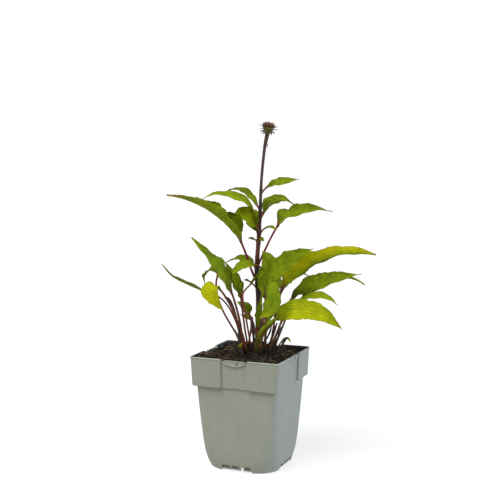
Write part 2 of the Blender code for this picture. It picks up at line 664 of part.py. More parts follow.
def make_involucre():
    points, faces = loft(turned_rings(RECEPTACLE))
    obj = add_object("involucre", place(points), faces, ["bract"])
    bracts = tool_collection("bracts")
    for whorl, (count, root_z, length, width, bend) in enumerate(BRACT_WHORLS):
        root_radius = 1.6 + 0.55 * root_z
        for k in range(count):
            angle = 2 * math.pi * (k + 0.5 * (whorl % 2)) / count
            outward = Vector((math.cos(angle), math.sin(angle), 0))
            sideways = Vector((-math.sin(angle), math.cos(angle), 0))
            centre = outward * root_radius + Vector((0, 0, root_z))
            pitch = math.radians(35.0 if whorl == 0 else 12.0)
            sections = []
            for step, share in enumerate((1.0, 1.0, 0.8, 0.25)):
                direction = outward * math.cos(pitch) + Vector((0, 0, math.sin(pitch)))
                upright = sideways.cross(direction).normalized()
                half = 0.5 * width * share
                sections.append([
                    centre - sideways * half - upright * 0.15,
                    centre + upright * -0.5,
                    centre + sideways * half - upright * 0.15,
                    centre + upright * 0.3,
                ])
                centre = centre + direction * (length / 3)
                pitch -= math.radians(bend / 3)
            points, faces = loft(sections)
            add_object(f"bract_{whorl}_{k}", place(points), faces, ["bract"], bracts)
    apply_boolean(obj, bracts, "UNION", "MANIFOLD")


def make_disc():
    steps = 6
    profile = [(DISC_BASE, DISC_RADIUS * 0.72)]
    for step in range(steps):
        angle = math.pi / 2 * step / steps
        profile.append((DISC_BASE + 0.6 + DISC_HEIGHT * 0.8 * math.sin(angle), DISC_RADIUS * math.cos(angle)))
    points, faces = loft(turned_rings(profile))
    obj = add_object("flower_disc", place(points), faces, ["disc"])
    scales = tool_collection("scales")
    golden = math.pi * (3 - math.sqrt(5))
    for k in range(SCALES):
        height = 1 - (k + 0.5) / SCALES
        ring = math.sqrt(1 - height * height)
        outward = Vector((ring * math.cos(k * golden), ring * math.sin(k * golden), height))
        foot = Vector((outward.x * DISC_RADIUS, outward.y * DISC_RADIUS,
                       DISC_BASE + 0.6 + outward.z * DISC_HEIGHT * 0.8)) - outward * 0.9
        tip_direction = (outward + Vector((0, 0, 0.5))).normalized()
        across = tip_direction.orthogonal().normalized()
        up = tip_direction.cross(across)
        sections = []
        for along, radius in ((0.0, SCALE_RADIUS), (0.55, SCALE_RADIUS * 0.85), (1.0, 0.12)):
            centre = foot + tip_direction * along * (SCALE_LENGTH + 0.3 * (k % 3))
            sections.append([
                centre + (across * math.cos(2 * math.pi * i / 3) + up * math.sin(2 * math.pi * i / 3)) * radius
                for i in range(3)
            ])
        points, faces = loft(sections)
        add_object(f"scale_{k}", place(points), faces, ["disc"], scales)
    apply_boolean(obj, scales, "UNION", "MANIFOLD")


def make_plant():
    """Makes the stem, leaves and flower head, and returns the holes that they need in the soil."""
    stem_points = [plant_point(*p[:3]) for p in STEM]
    stem_samples, stem_stops = curve_through(stem_points)
    make_tube("main_stem", stem_points, [p[3] for p in STEM], "stem", sides=10)
    holes = [(stem_points[0] - Vector((0, 0, 1)), stem_points[1] - stem_points[0], STEM[0][3] + 0.7, 18.0)]
    for spec in BASAL_LEAVES:
        points = [plant_point(*p) for p in spec[1]]
        root = soil_root(points)
        radius = make_leaf(spec, root=root)
        holes.append(hole_for(root, points[0], radius))
    for spec in STEM_LEAVES:
        make_leaf(spec, stem=(stem_samples, stem_stops))
    for name, route, radius in STALKS:
        points = [plant_point(*p) for p in route]
        root = soil_root(points)
        make_tube(name, [root, *points], [radius] * (len(points) + 1), "withered", sides=6, spacing=14.0)
        holes.append(hole_for(root, points[0], radius))
    make_involucre()
    make_disc()
    return holes


clear_scene()
make_pot()
make_soil(make_plant())
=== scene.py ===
"""Looks for a young purple coneflower in a square nursery pot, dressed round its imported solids.

Lengths are in millimetres until a mesh is made. The plant's own directions are u to the right, v away
and z up, seen from its best side. The pot's directions are X and Y.
"""
import random
from math import copysign, cos, exp, hypot, pi, radians, sin, sqrt

import bmesh
import bpy
import numpy as np
from mathutils import Matrix, Vector, noise


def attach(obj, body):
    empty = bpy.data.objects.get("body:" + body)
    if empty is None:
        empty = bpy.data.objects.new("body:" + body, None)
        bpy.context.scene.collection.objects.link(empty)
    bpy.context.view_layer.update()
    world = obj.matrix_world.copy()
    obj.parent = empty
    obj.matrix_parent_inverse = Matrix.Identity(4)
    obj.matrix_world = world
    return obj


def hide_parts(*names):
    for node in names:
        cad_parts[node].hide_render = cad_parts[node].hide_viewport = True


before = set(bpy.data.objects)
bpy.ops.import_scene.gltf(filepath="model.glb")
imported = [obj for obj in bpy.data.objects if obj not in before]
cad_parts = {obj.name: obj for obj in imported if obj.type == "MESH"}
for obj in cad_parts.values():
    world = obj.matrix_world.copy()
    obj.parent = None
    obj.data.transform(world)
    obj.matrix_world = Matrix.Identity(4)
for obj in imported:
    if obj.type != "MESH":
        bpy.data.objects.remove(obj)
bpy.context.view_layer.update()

MM = 0.001
POT_CENTRE = Vector((-17.3, -14.6, 0.0))
PLANT_TURN_DEG = 22.4
TURN = Matrix.Rotation(radians(PLANT_TURN_DEG), 3, "Z")
UP = Vector((0, 0, 1))

# Camera and studio
CAMERA_DISTANCE = 900.0
CAMERA_HEIGHT_DEG = 5.6
CAMERA_AIM = (-1.3, 0.0, 204.0)
LENS = 68.76
SENSOR = 36.0
# Name, direction it comes from (u, v, z), angular size, power and colour
LIGHTS = (
    ("key_left", -0.55, -0.75, 1.5, 35, 4.0, (1.0, 0.985, 0.94)),
    ("fill_right", 1.3, -0.25, 0.40, 50, 3.2, (0.57, 0.68, 1.0)),
)
# The pale wall all round is bright from the floor up to the first height and dim above the second
WALL_FADE = (0.17, 0.42, 1.02, 0.32)
FLOOR_GLOW = 0.76
# The floor's half side and level, in metres
FLOOR_HALF = 40.0
FLOOR_LEVEL = -0.0004

# Pot
POT_HEIGHT = 107.0
WALL = 1.2
FLOOR_LOW = 5.5
FLOOR_TOP = 7.0
BAND_LOW = 79.5
BAND_DEPTH = 1.7
RECESS_HALF = 12.7
PLATE_CORNER = 3.0
RIM_DIP = 1.4
TAB_SINK = 0.9
NOTCH_DIP = 1.4
NOTCH_PLACE = 11.9
# Height, half side and corner radius of the body below the band
BODY = (
    (0.0, 34.4, 22.0),
    (5.0, 35.9, 20.5),
    (14.0, 37.1, 16.5),
    (28.0, 37.8, 12.5),
    (50.0, 38.6, 8.0),
    (66.0, 39.2, 5.5),
    (BAND_LOW, 39.7, 4.0),
)
# Heights of the rings that make the body and the band
BODY_HEIGHTS = (
    0.35, 1.2, 2.4, 3.6, 5, 7, 9.5, 12, 15, 18, 21, 24, 28, 33, 38, 44, 50, 56, 62, 68, 73, 77, 79,
)
BAND_START = BAND_LOW + 0.1
BAND_HEIGHTS = (
    BAND_START, BAND_START + 0.35, *(BAND_LOW + 0.8 + 0.4 * k for k in range(8)), 86, 90, 94, 97.5, 99,
    *(99.6 + 0.32 * k for k in range(19)), 105.6, 106, 106.3, 106.6, 106.85,
)
BAND_BOTTOM_HALF = 42.9
BAND_TOP_HALF = 44.5
BAND_RADIUS = 3.0
FOOT_WALL = 1.6
TAB_HALF = 11.6
TAB_DROP = 6.0
CORNER_STEPS = 12
# Cuts in each side of the foot: from x to x, how far in past the foot's face, and from z to z
FOOT_CUTS = (
    (-16, 15, 4, -1, 1.4), (3.4, 6.6, 4, -1, 4.6), (-15, -6.6, 0.2, 0.5, 5), (-5.4, 2.2, 0.2, 0.5, 5),
    (7.8, 14, 0.2, 0.5, 5),
)
DRAIN_RADIUS = 4.0
DRAIN_OFFSET = 17.0
# Places across one side of the pot, close together where the recess steps in and where the tab hangs
RIGHT_PLACES = (
    *(0.3 + 0.6 * k for k in range(20)), *(12.1 + 0.25 * k for k in range(6)),
    13.7, 14.4, 15.4, 17, 20, 25, 31, 36.5, 39.6, 40.7,
)
POT_PLACES = (*(-x for x in RIGHT_PLACES[::-1]), *RIGHT_PLACES)

# Soil
SOIL_EDGE = 101.0
SOIL_MOUND = 9.5
SOIL_MOUND_RADIUS = 26.0
SOIL_ROUGHNESS = 2.2
SOIL_GAP = 0.25
SOIL_RINGS = 45
SOIL_STEP = 0.022
SOIL_PLACES = tuple(k / 21.5 - 1 for k in range(44))
SOIL_CORNER_STEPS = 6
CROWN = (6.0, 3.0)
SOIL_HALF = 40.0
HEAP_HEIGHT = 3.0
CLUMP_HEIGHT = 4.5
CLUMP_RADIUS = 15.0
WET_PLACE = (0.0, -11.0)
WET_RADIUS = 17.0
# How much darker crumbs and chips are where it is wet
DIMMED = 0.85
CRUMBS = 900
CHIPS = 110
FIBRES = 230
FIBRE_STEPS = 9

# Leaves
CURVE_STEPS = 12
# How far a stalk goes on down in the soil, and where along its route a stem leaf starts
PETIOLE_ROOT = 9.0
STEM_GAP = 0.8
# Distance between a leaf's rings, and the points across its blade
STATION = 1.3
ROWS = 21
SHAPE_POWER = 1.9
BLADE_THICKNESS = 0.45
TOOTH_SPACING = 7.5
TOOTH_DEPTH = 0.32
EDGE_UNEVEN = 0.14

# Main stem: u, v, z and radius
STEM = (
    (6, 4, 104, 3.2),
    (6.5, 4, 118, 3.2),
    (7, 3, 156, 2.9),
    (5.3, 3, 187, 2.4),
    (7.0, 1.5, 216, 2.0),
    (8.2, 0, 241, 1.65),
    (9.4, 0, 270, 1.45),
    (12.1, 0, 298, 1.5),
    (14.9, 0, 313, 2.2),
)
STEM_SIDES = 28
BRISTLES = 520
BRISTLE_RADIUS = 0.07
# Where the small scale leaf sits along the stem, as a share of its length
SCALE_PLACE = 0.953
STALK_SIDES = 12

# Flower head
HEAD_BASE = (15.1, 0, 313.4)
HEAD_LEAN = 7.0
HEAD_SIDES = 36
# Height and radius of the cup
RECEPTACLE = ((0.0, 2.0), (0.7, 2.4), (1.6, 3.0), (3.2, 4.5), (4.4, 5.1), (5.2, 5.0), (5.6, 4.4))
DISC_RADIUS = 4.9
DISC_HEIGHT = 4.8
DISC_BASE = 5.9
DOME_SHARE = 0.50
DOME_STEPS = 10
DISC_SCALES = 105
# Share of a scale's length and its radius there
SCALE_SHAPE = ((0.0, 0.50), (0.35, 0.48), (0.65, 0.32), (0.88, 0.13), (1.0, 0.02))
# Bracts, from the top whorl down: count, root height, length, width, bend, pitch, tone at root and at tip
BRACT_WHORLS = (
    (14, 5.0, 5.3, 1.9, -8.0, 64.0, 0.60, 1.0),
    (13, 4.5, 6.2, 2.3, 34.0, 40.0, 0.20, 0.80),
    (12, 3.4, 6.4, 2.4, 62.0, 22.0, 0.00, 0.64),
    (11, 2.4, 6.0, 2.3, 66.0, 0.0, 0.00, 0.60),
    (7, 1.3, 4.0, 1.8, 70.0, -18.0, 0.00, 0.50),
)
BRACT_STEPS = 9

# Name, route point where the blade starts, width, lean, fold, wave, widest place along the blade,
# how yellow, how much yellower across, how olive the stalk is, and the route as u, v and z
BASAL_LEAVES = (
    ("basal_leaf_01", 3, 24, 48, 12, 0.6, 0.34, 0.34, 0.1, 0.2, ((-8, -6, 117), (-10, -9, 133),
     (-13, -12, 148), (-18, -16, 165), (-27, -22, 184), (-39, -28, 200), (-54, -36, 219))),
    ("basal_leaf_02", 3, 16, 42, 14, 0.8, 0.25, 0.3, 0.0, 0.1, ((-4, 0, 117), (-6, -1, 129), (-8, -3, 145),
     (-10, -4, 160), (-16, -4, 176), (-22, -4, 188), (-28, -4, 198))),
    ("basal_leaf_03", 5, 15, 20, 8, 0.3, 0.4, 0.9, 0.0, 0.3, ((-6, -11, 116), (-8, -13, 125),
     (-13, -17, 139), (-18, -22, 152), (-23, -26, 162), (-28, -30, 170), (-34, -33, 175), (-38, -37, 171),
     (-34, -40, 163), (-26, -42, 153))),
    ("basal_leaf_04", 3, 9, 0, 16, 0.5, 0.45, 0.15, 0.0, 0.2, ((-11, 4, 115), (-13, 5, 130), (-21, 6, 148),
     (-31, 5, 159), (-45, 3, 165), (-69, -4, 177), (-77, -6, 183), (-84, -8, 192))),
    ("basal_leaf_05", 5, 12, 20, 12, 0.4, 0.4, 0.28, 0.0, 0.0, ((-10, 9, 115), (-17, 12, 126),
     (-27, 15, 143), (-32, 18, 156), (-34, 21, 169), (-33, 25, 179), (-39, 28, 183), (-46, 32, 176),
     (-46, 33, 167))),
    ("basal_leaf_06", 4, 7, 25, 12, 0.3, 0.4, 0.05, 0.0, 0.3, ((-1, -10, 117), (-5, -14, 141),
     (-8, -17, 160), (-7, -17, 167), (-1, -19, 174), (3, -21, 180), (10, -23, 187))),
    ("basal_leaf_07", 2, 11, 30, 14, 0.4, 0.35, 0.3, 0.0, 0.2, ((-2, 8, 116), (0, 12, 130), (-2, 15, 141),
     (-7, 17, 148), (-14, 19, 152))),
    ("basal_leaf_08", 2, 8, 15, 14, 0.3, 0.4, 0.05, 0.0, 0.0, ((2, 16, 115), (3, 20, 125), (1, 26, 132),
     (-4, 30, 135), (-11, 34, 137))),
    ("basal_leaf_09", 2, 21, 40, 22, 0.9, 0.4, 0.74, -0.66, 0.1, ((19, 8, 115), (24, 11, 148),
     (28, 12, 163), (34, 11, 171), (44, 10, 181), (61, 8, 193), (84, 4, 201), (102, 0, 202),
     (117, -4, 200))),
    ("basal_leaf_10", 2, 29, 55, 12, 0.8, 0.38, 0.3, 0.08, 0.5, ((13, -8, 116), (13, -12, 145),
     (13, -15, 162), (16, -18, 172), (20, -22, 183), (29, -26, 192), (41, -32, 201), (56, -37, 209))),
    ("basal_leaf_11", 2, 23, 0, 10, 0.5, 0.45, 0.34, 0.0, 0.4, ((9, -5, 116), (11, -6, 140), (14, -6, 157),
     (17, -6, 177), (18, -7, 188), (15, -8, 197), (10, -10, 204))),
    ("basal_leaf_12", 2, 15, 0, 10, 0.5, 0.5, 0.28, 0.0, 0.6, ((9, -13, 116), (13, -22, 140),
     (15, -31, 160), (17.5, -37, 172), (19, -43, 179), (20.5, -49, 172), (20, -53, 162), (16, -56, 155),
     (7, -59, 149))),
    ("basal_leaf_13", 2, 22, 55, 8, 0.5, 0.35, 0.72, 0.15, 0.9, ((5, -18, 116), (13, -26, 131),
     (22, -31, 143), (28, -35, 150), (35, -39, 153), (48, -42, 154), (62, -46, 151), (72, -48, 145),
     (82, -49, 137))),
    ("basal_leaf_14", 3, 23, 42, 14, 0.9, 0.3, 0.3, 0.08, 0.3, ((21, -3, 117), (26, -4, 131), (32, -5, 147),
     (38, -6, 159), (47, -9, 168), (62, -13, 174), (80, -18, 180), (101, -23, 184))),
    ("basal_leaf_15", 2, 14, 18, 14, 0.6, 0.4, 0.28, 0.0, 0.2, ((24, 6, 115), (35, 9, 141), (47, 13, 155),
     (68, 17, 169), (90, 20, 175), (101, 22, 173), (110, 23, 168))),
    ("basal_leaf_16", 2, 12, 25, 12, 0.5, 0.4, 0.52, 0.1, 0.5, ((19, -10, 116), (29, -17, 140),
     (39, -22, 155), (49, -27, 162), (61, -31, 165), (71, -35, 163), (79, -38, 157))),
    ("basal_leaf_17", 4, 8, 10, 12, 0.4, 0.4, 0.1, 0.0, 0.1, ((19, 15, 114), (22, 18, 131), (26, 21, 149),
     (29, 23, 160), (35, 26, 169), (43, 30, 175), (50, 33, 178), (58, 35, 174))),
    ("basal_leaf_18", 0, 4, 20, 10, 0.2, 0.4, 0.45, 0.0, 0.4, ((27, 11, 112), (31, 10, 117), (35, 9, 118),
     (38, 8, 114))),
    ("basal_leaf_19", 2, 16, 0, 12, 0.7, 0.36, 0.34, 0.05, 0.2, ((13, 22, 114), (20, 38, 145),
     (26, 52, 160), (34, 63, 166), (42, 74, 163))),
    ("basal_leaf_20", 2, 13, 0, 12, 0.6, 0.36, 0.26, 0.0, 0.2, ((8, 14, 116), (12, 27, 140), (14, 39, 152),
     (14, 51, 156), (11, 64, 151))),
)
STEM_LEAVES = (
    ("stem_leaf_01", 1, 12, 38, 10, 0.4, 0.36, 0.32, 0.05, 0.3, ((8.9, 0, 257), (14, -1, 263),
     (22, -5, 267), (33, -9, 269), (44, -14, 271))),
    ("stem_leaf_02", 1, 10, 15, 14, 0.4, 0.4, 0.15, 0.0, 0.1, ((8.2, 0, 240), (6, 3, 245), (0, 8, 253),
     (-7, 13, 259), (-17, 18, 261), (-25, 22, 258))),
    ("stem_leaf_03", 1, 17, 38, 14, 0.5, 0.3, 0.46, 0.08, 0.3, ((7.8, 0.5, 231), (3, -4, 239),
     (-3, -9, 248), (-11, -14, 254), (-22, -18, 257), (-33, -21, 258), (-44, -24, 254))),
    ("stem_leaf_04", 3, 25, 12, 52, 0.7, 0.25, 0.46, 0.0, 0.0, ((6.4, 3, 170), (0, 0, 186), (-4, -2, 198),
     (-9, -4, 211), (-13, -6, 219), (-21, -9, 228), (-31, -13, 237), (-42, -18, 245), (-59, -24, 253),
     (-77, -28, 257))),
    ("stem_leaf_05", 3, 19, 42, 20, 0.9, 0.25, 0.3, 0.1, 0.0, ((5.3, 2.8, 187), (12, -2, 203),
     (18, -5, 216), (24, -8, 227), (30, -11, 235), (43, -16, 241), (58, -22, 244), (74, -28, 242))),
    ("stem_leaf_06", 1, 13, 30, 16, 0.5, 0.36, 0.26, 0.05, 0.3, ((8, 0.2, 236), (12, 3, 241), (15, 7, 246),
     (22, 14, 250), (32, 20, 251), (44, 27, 244))),
    ("stem_leaf_07", 1, 9, 10, 10, 0.3, 0.4, 0.1, 0.0, 0.3, ((7.8, 0.4, 232), (12, -3, 240), (14, -6, 245),
     (16, -10, 249), (14, -13, 254))),
    ("stem_leaf_08", 1, 18, 76, 14, 0.7, 0.4, 0.52, 0.0, 0.4, ((7.2, 1.2, 220), (5, -3, 227),
     (1.5, -6, 231.5), (-3, -9, 237), (-9.5, -11, 240.5), (-16, -12, 239))),
    ("stem_leaf_09", 1, 7, 70, 12, 0.3, 0.4, 0.46, 0.0, 0.3, ((7, 1.5, 215), (5, 1, 222), (0, 1, 229),
     (-7, 0, 235))),
    ("stem_leaf_10", 1, 5, 25, 12, 0.3, 0.4, 0.25, 0.0, 0.2, ((7.2, 1.4, 218), (12, -7, 225),
     (17, -13, 227), (24, -18, 225))),
    ("stem_leaf_11", 1, 5, 25, 12, 0.2, 0.4, 0.25, 0.0, 0.4, ((6.6, 1.9, 208), (4, -2, 214),
     (-3, -6, 216))),
    ("stem_leaf_12", 1, 11, 20, 14, 0.5, 0.4, 0.28, 0.0, 0.2, ((5.7, 3, 181), (2, 9, 189), (-4, 14, 193.5),
     (-15, 20, 194), (-25, 26, 189.5))),
    ("stem_leaf_13", 1, 4, 25, 12, 0.2, 0.4, 0.3, 0.0, 0.4, ((6.3, 3, 166), (-1, 1, 174), (-7, -2, 176))),
    ("stem_leaf_14", 2, 13, 26, 12, 0.6, 0.4, 0.42, 0.05, 0.3, ((5.6, 3, 178), (9, -2, 187), (3.5, -8, 191),
     (-5, -13, 191.5), (-12, -17, 189), (-18, -20, 184))),
    ("stem_leaf_15", 1, 9, 40, 20, 0.5, 0.4, 0.3, 0.0, 0.3, ((7.2, 1.1, 222), (5.5, -3, 229),
     (3.5, -5.5, 236), (0.5, -8, 240.5))),
    ("stem_leaf_16", 1, 5, 25, 14, 0.2, 0.4, 0.32, 0.0, 0.4, ((6.7, 1.8, 210), (7.5, -3, 215.5),
     (12, -6, 213))),
)
# Small leaves crowded at the crown, without a solid of their own
CROWN_LEAVES = (
    ("crown_leaf_01", 1, 10, 20, 22, 0.5, 0.4, 0.06, 0.0, 0.1, ((4.9, -8, 116.4), (6.4, -12, 131.3),
     (7.9, -15, 143.4), (8.9, -17, 153.1), (9.4, -18, 159.4), (10.4, -18, 166.7))),
    ("crown_leaf_02", 0, 9, 30, 18, 0.3, 0.5, 0.36, 0.0, 0.9, ((4.3, -20, 119.3), (7.8, -26, 129.8),
     (14.3, -31, 137.4), (19.3, -34, 142), (23.8, -36, 146))),
    ("crown_leaf_03", 1, 6, 10, 30, 0.8, 0.4, 0.0, 0.0, 0.0, ((22.9, -14, 118.1), (25.4, -18, 126.2),
     (27.4, -19, 131.6), (29.9, -20, 134.9))),
    ("crown_leaf_04", 0, 5, 5, 20, 0.3, 0.4, 0.9, 0.0, 1.0, ((-10.7, -16, 112.6), (-10.2, -18, 115.8),
     (-8.8, -19, 118.8))),
    ("crown_leaf_05", 1, 9, 45, 16, 0.5, 0.45, 0.08, 0.0, 0.6, ((7, -11, 116), (11, -14, 130),
     (16, -17, 140), (22, -19, 147))),
)
# Lobes and notches of single leaves: which edge, place along the blade, depth and spread
NOTCHES = {
    "basal_leaf_09": ((-1, 0.2, 0.35, 0.12),),
    "basal_leaf_12": (
        (1, 0.35, -0.4, 0.1), (-1, 0.35, -0.4, 0.1), (-1, 0.53, -0.3, 0.12), (1, 0.83, 0.8, 0.12),
        (-1, 0.88, 0.3, 0.1),
    ),
    "basal_leaf_13": ((-1, 0.24, -0.2, 0.15),),
    "basal_leaf_14": ((-1, 0.12, -0.45, 0.12), (1, 0.1, -0.3, 0.1)),
    "stem_leaf_03": ((1, 0.45, -0.35, 0.3),),
    "stem_leaf_04": (
        (1, 0.37, -0.42, 0.055), (1, 0.22, 0.32, 0.09), (1, 0.5, 0.2, 0.08), (-1, 0.15, -0.55, 0.2),
    ),
    "stem_leaf_05": ((-1, 0.27, -0.28, 0.035), (-1, 0.14, 0.25, 0.06), (1, 0.16, 0.2, 0.05)),
    "stem_leaf_06": ((-1, 0.2, 0.2, 0.08),),
}
# Leaves that turn bronze towards the tip: where that starts along the blade, and how strong it is
RUST = {
    "basal_leaf_03": (0.6, 0.35),
    "basal_leaf_13": (0.82, 0.8),
    "stem_leaf_04": (0.45, 0.85),
    "stem_leaf_05": (0.7, 0.7),
}
RUST_ELSEWHERE = (0.93, 0.7)
WITHERED = ("crown_leaf_03",)
SLOT_LEAVES = {
    "withered": WITHERED,
    "leaf_yellow": ("basal_leaf_03", "basal_leaf_13"),
    "leaf_dark": (
        "basal_leaf_06", "basal_leaf_08", "basal_leaf_17", "stem_leaf_02", "stem_leaf_07", "stem_leaf_08",
    ),
    "leaf_lime": ("basal_leaf_09", "basal_leaf_12", "basal_leaf_16", "basal_leaf_18", "stem_leaf_09"),
}
SLOTS = {name: slot for slot, names in SLOT_LEAVES.items() for name in names}
# Dead stalks: name, route and radius
STALKS = (
    ("withered_stalk_01", ((-9, -1, 116), (-16, 0, 145), (-21, -1, 157), (-25, -3, 159)), 1.3),
    ("withered_stalk_02", ((-10, -17, 115), (-12, -19, 123), (-16, -21, 132)), 1.2),
    ("withered_stalk_03", ((29, 1, 112), (31, 1, 116), (34, 2, 120)), 1.3),
    ("crown_stub_01", ((17, -7, 114), (21, -9, 127), (24, -10, 136)), 1.2),
    ("crown_stub_02", ((22, -4, 114), (27, -5, 126), (30, -6, 133)), 1.0),
    ("crown_stub_03", ((3, -8, 116), (1, -9, 130), (1, -9, 141)), 1.1),
    ("crown_stub_04", ((12, -9, 116), (17, -11, 127), (19, -11, 134)), 0.9),
)


# Materials


class Paint:
    """A Principled material built up from small node steps."""

    def __init__(self, name, specular, **values):
        self.material = bpy.data.materials.new(name)
        self.material.use_nodes = True
        self.nodes = self.material.node_tree.nodes
        self.links = self.material.node_tree.links
        self.shader = self.nodes["Principled BSDF"]
        self.shader.inputs["Specular IOR Level"].default_value = specular
        for key, value in values.items():
            self.put(self.shader.inputs[key.replace("_", " ")], value)

    def put(self, socket, value):
        if isinstance(value, bpy.types.NodeSocket):
            self.links.new(value, socket)
        elif isinstance(value, tuple) and len(value) == 3 and socket.type == "RGBA":
            socket.default_value = (*value, 1.0)
        else:
            socket.default_value = value

    def node(self, kind, inputs, **settings):
        made = self.nodes.new("ShaderNode" + kind)
        for key, value in settings.items():
            setattr(made, key, value)
        for key, value in inputs.items():
            self.put(made.inputs[key], value)
        return made

    def math(self, operation, a, b=0.0, clamp=False):
        return self.node("Math", {0: a, 1: b}, operation=operation, use_clamp=clamp).outputs[0]

    def times(self, a, b):
        return self.math("MULTIPLY", a, b)

    def plus(self, a, b, clamp=False):
        return self.math("ADD", a, b, clamp)

    def minus(self, a, b):
        return self.math("SUBTRACT", a, b)

    def larger(self, a, b):
        return self.math("MAXIMUM", a, b)

    def size(self, a):
        return self.math("ABSOLUTE", a)

    def attribute(self, name):
        return self.node("Attribute", {}, attribute_name=name).outputs["Fac"]

    def position(self):
        return self.node("TexCoord", {}).outputs["Object"]

    def vector(self, x, y, z=0.0):
        return self.node("CombineXYZ", {0: x, 1: y, 2: z}).outputs[0]

    def noise(self, vector, scale, detail=3.0):
        inputs = {"Vector": vector, "Scale": scale, "Detail": detail, "Roughness": 0.55}
        return self.node("TexNoise", inputs).outputs["Fac"]

    def span(self, value, low, high, out_low=0.0, out_high=1.0):
        inputs = {0: value, 1: low, 2: high, 3: out_low, 4: out_high}
        return self.node("MapRange", inputs, interpolation_type="SMOOTHSTEP").outputs[0]

    def cover(self, vector, scale, low, high, detail=3.0):
        """1 in the patches where a noise is high."""
        return self.span(self.noise(vector, scale, detail), low, high)

    def both(self, a, b, share):
        """Where two covers meet, at some strength."""
        return self.times(self.times(a, b), share)

    def ramp(self, factor, *stops):
        made = self.node("ValToRGB", {"Fac": factor})
        while len(made.color_ramp.elements) < len(stops):
            made.color_ramp.elements.new(0.5)
        for element, (place, *colour) in zip(made.color_ramp.elements, stops):
            element.position = place
            element.color = (*colour, 1.0)
        return made.outputs["Color"]

    def mix(self, factor, a, b):
        return self.node("Mix", {0: factor, 6: a, 7: b}, data_type="RGBA").outputs[2]

    def bump(self, height, distance, strength):
        return self.node("Bump", {"Height": height, "Distance": distance, "Strength": strength}).outputs[0]

    def finish(self, colour, normal=None, roughness=None):
        for name, value in (("Base Color", colour), ("Normal", normal), ("Roughness", roughness)):
            if value is not None:
                self.put(self.shader.inputs[name], value)
        return self.material


def leaf_material():
    p = Paint("leaf_surface", 0.05)
    names = ("across", "half", "along", "yellow", "top", "stalk", "olive", "rust")
    s, half, along, yellow, top, stalk, olive, rust = (p.attribute(name) for name in names)
    side = p.size(s)
    width = p.times(s, half)
    plane = p.vector(width, along, p.times(yellow, 40.0))

    def line(offset, thickness):
        return p.span(p.times(p.size(p.minus(side, offset)), half), 0.0, thickness, 1.0, 0.0)

    rib = line(0.0, 0.75)
    long_veins = p.larger(line(0.33, 0.42), p.larger(line(0.62, 0.34), line(0.86, 0.25)))
    bend = p.plus(along, p.times(p.noise(plane, 0.12), 5.0))
    slant = p.minus(bend, p.times(p.size(width), 1.9))
    stripe = p.size(p.minus(p.math("FRACT", p.math("DIVIDE", slant, 4.2)), 0.5))
    side_veins = p.span(stripe, 0.0, 0.09, 0.8, 0.0)
    cells = p.node("TexVoronoi", {"Vector": plane, "Scale": 0.55}, feature="DISTANCE_TO_EDGE")
    net = p.span(cells.outputs["Distance"], 0.0, 0.14, 1.0, 0.0)
    veins = p.larger(p.larger(rib, long_veins), p.times(side_veins, 0.6))
    mottle = p.minus(p.noise(plane, 0.13, 4.0), 0.5)
    fine = p.minus(p.noise(plane, 0.9), 0.5)
    tone = p.plus(p.plus(yellow, p.times(mottle, 0.95)), p.times(fine, 0.24), clamp=True)
    face = p.ramp(
        tone, (0.0, 0.036, 0.064, 0.001), (0.25, 0.100, 0.150, 0.002), (0.50, 0.185, 0.235, 0.002),
        (0.75, 0.280, 0.305, 0.001), (1.0, 0.400, 0.390, 0.001),
    )
    face = p.mix(p.times(veins, 0.50), face, (0.28, 0.34, 0.008))
    face = p.mix(p.times(net, 0.22), face, (0.04, 0.07, 0.003))
    spots = p.both(p.cover(plane, 0.55, 0.66, 0.74, 2.0), p.cover(plane, 0.05, 0.45, 0.7), 0.6)
    face = p.mix(spots, face, (0.07, 0.055, 0.012))
    face = p.mix(p.times(p.span(side, 0.93, 1.0), 0.4), face, (0.10, 0.075, 0.012))
    bronze = p.times(rust, p.cover(plane, 0.35, 0.30, 0.62, 4.0))
    face = p.mix(bronze, face, (0.150, 0.085, 0.016))
    face = p.mix(top, p.mix(0.30, face, (0.18, 0.23, 0.008)), face)
    streak = p.noise(p.vector(p.times(s, 3.0), p.times(along, 0.12), olive), 1.0, 4.0)
    # Red stalks streak lengthwise in their own colour; the palest, orange stop of the red streaks is also a
    # painted highlight.
    red = p.ramp(streak, (0.30, 0.055, 0.009, 0.017), (0.52, 0.150, 0.022, 0.030), (0.78, 0.30, 0.10, 0.05))
    green = p.ramp(streak, (0.30, 0.055, 0.050, 0.007), (0.60, 0.13, 0.125, 0.010), (0.8, 0.19, 0.15, 0.02))
    colour = p.mix(stalk, face, p.mix(olive, red, green))
    flush = p.times(rib, p.span(along, 0.0, 20.0, 0.7, 0.0))
    colour = p.mix(p.times(flush, p.minus(1.0, olive)), colour, (0.14, 0.028, 0.018))
    height = p.minus(p.minus(p.times(fine, 0.5), veins), p.times(net, 0.4))
    return p.finish(colour, p.bump(height, 0.0005, 0.9), p.span(p.noise(plane, 0.4), 0.2, 0.8, 0.44, 0.66))


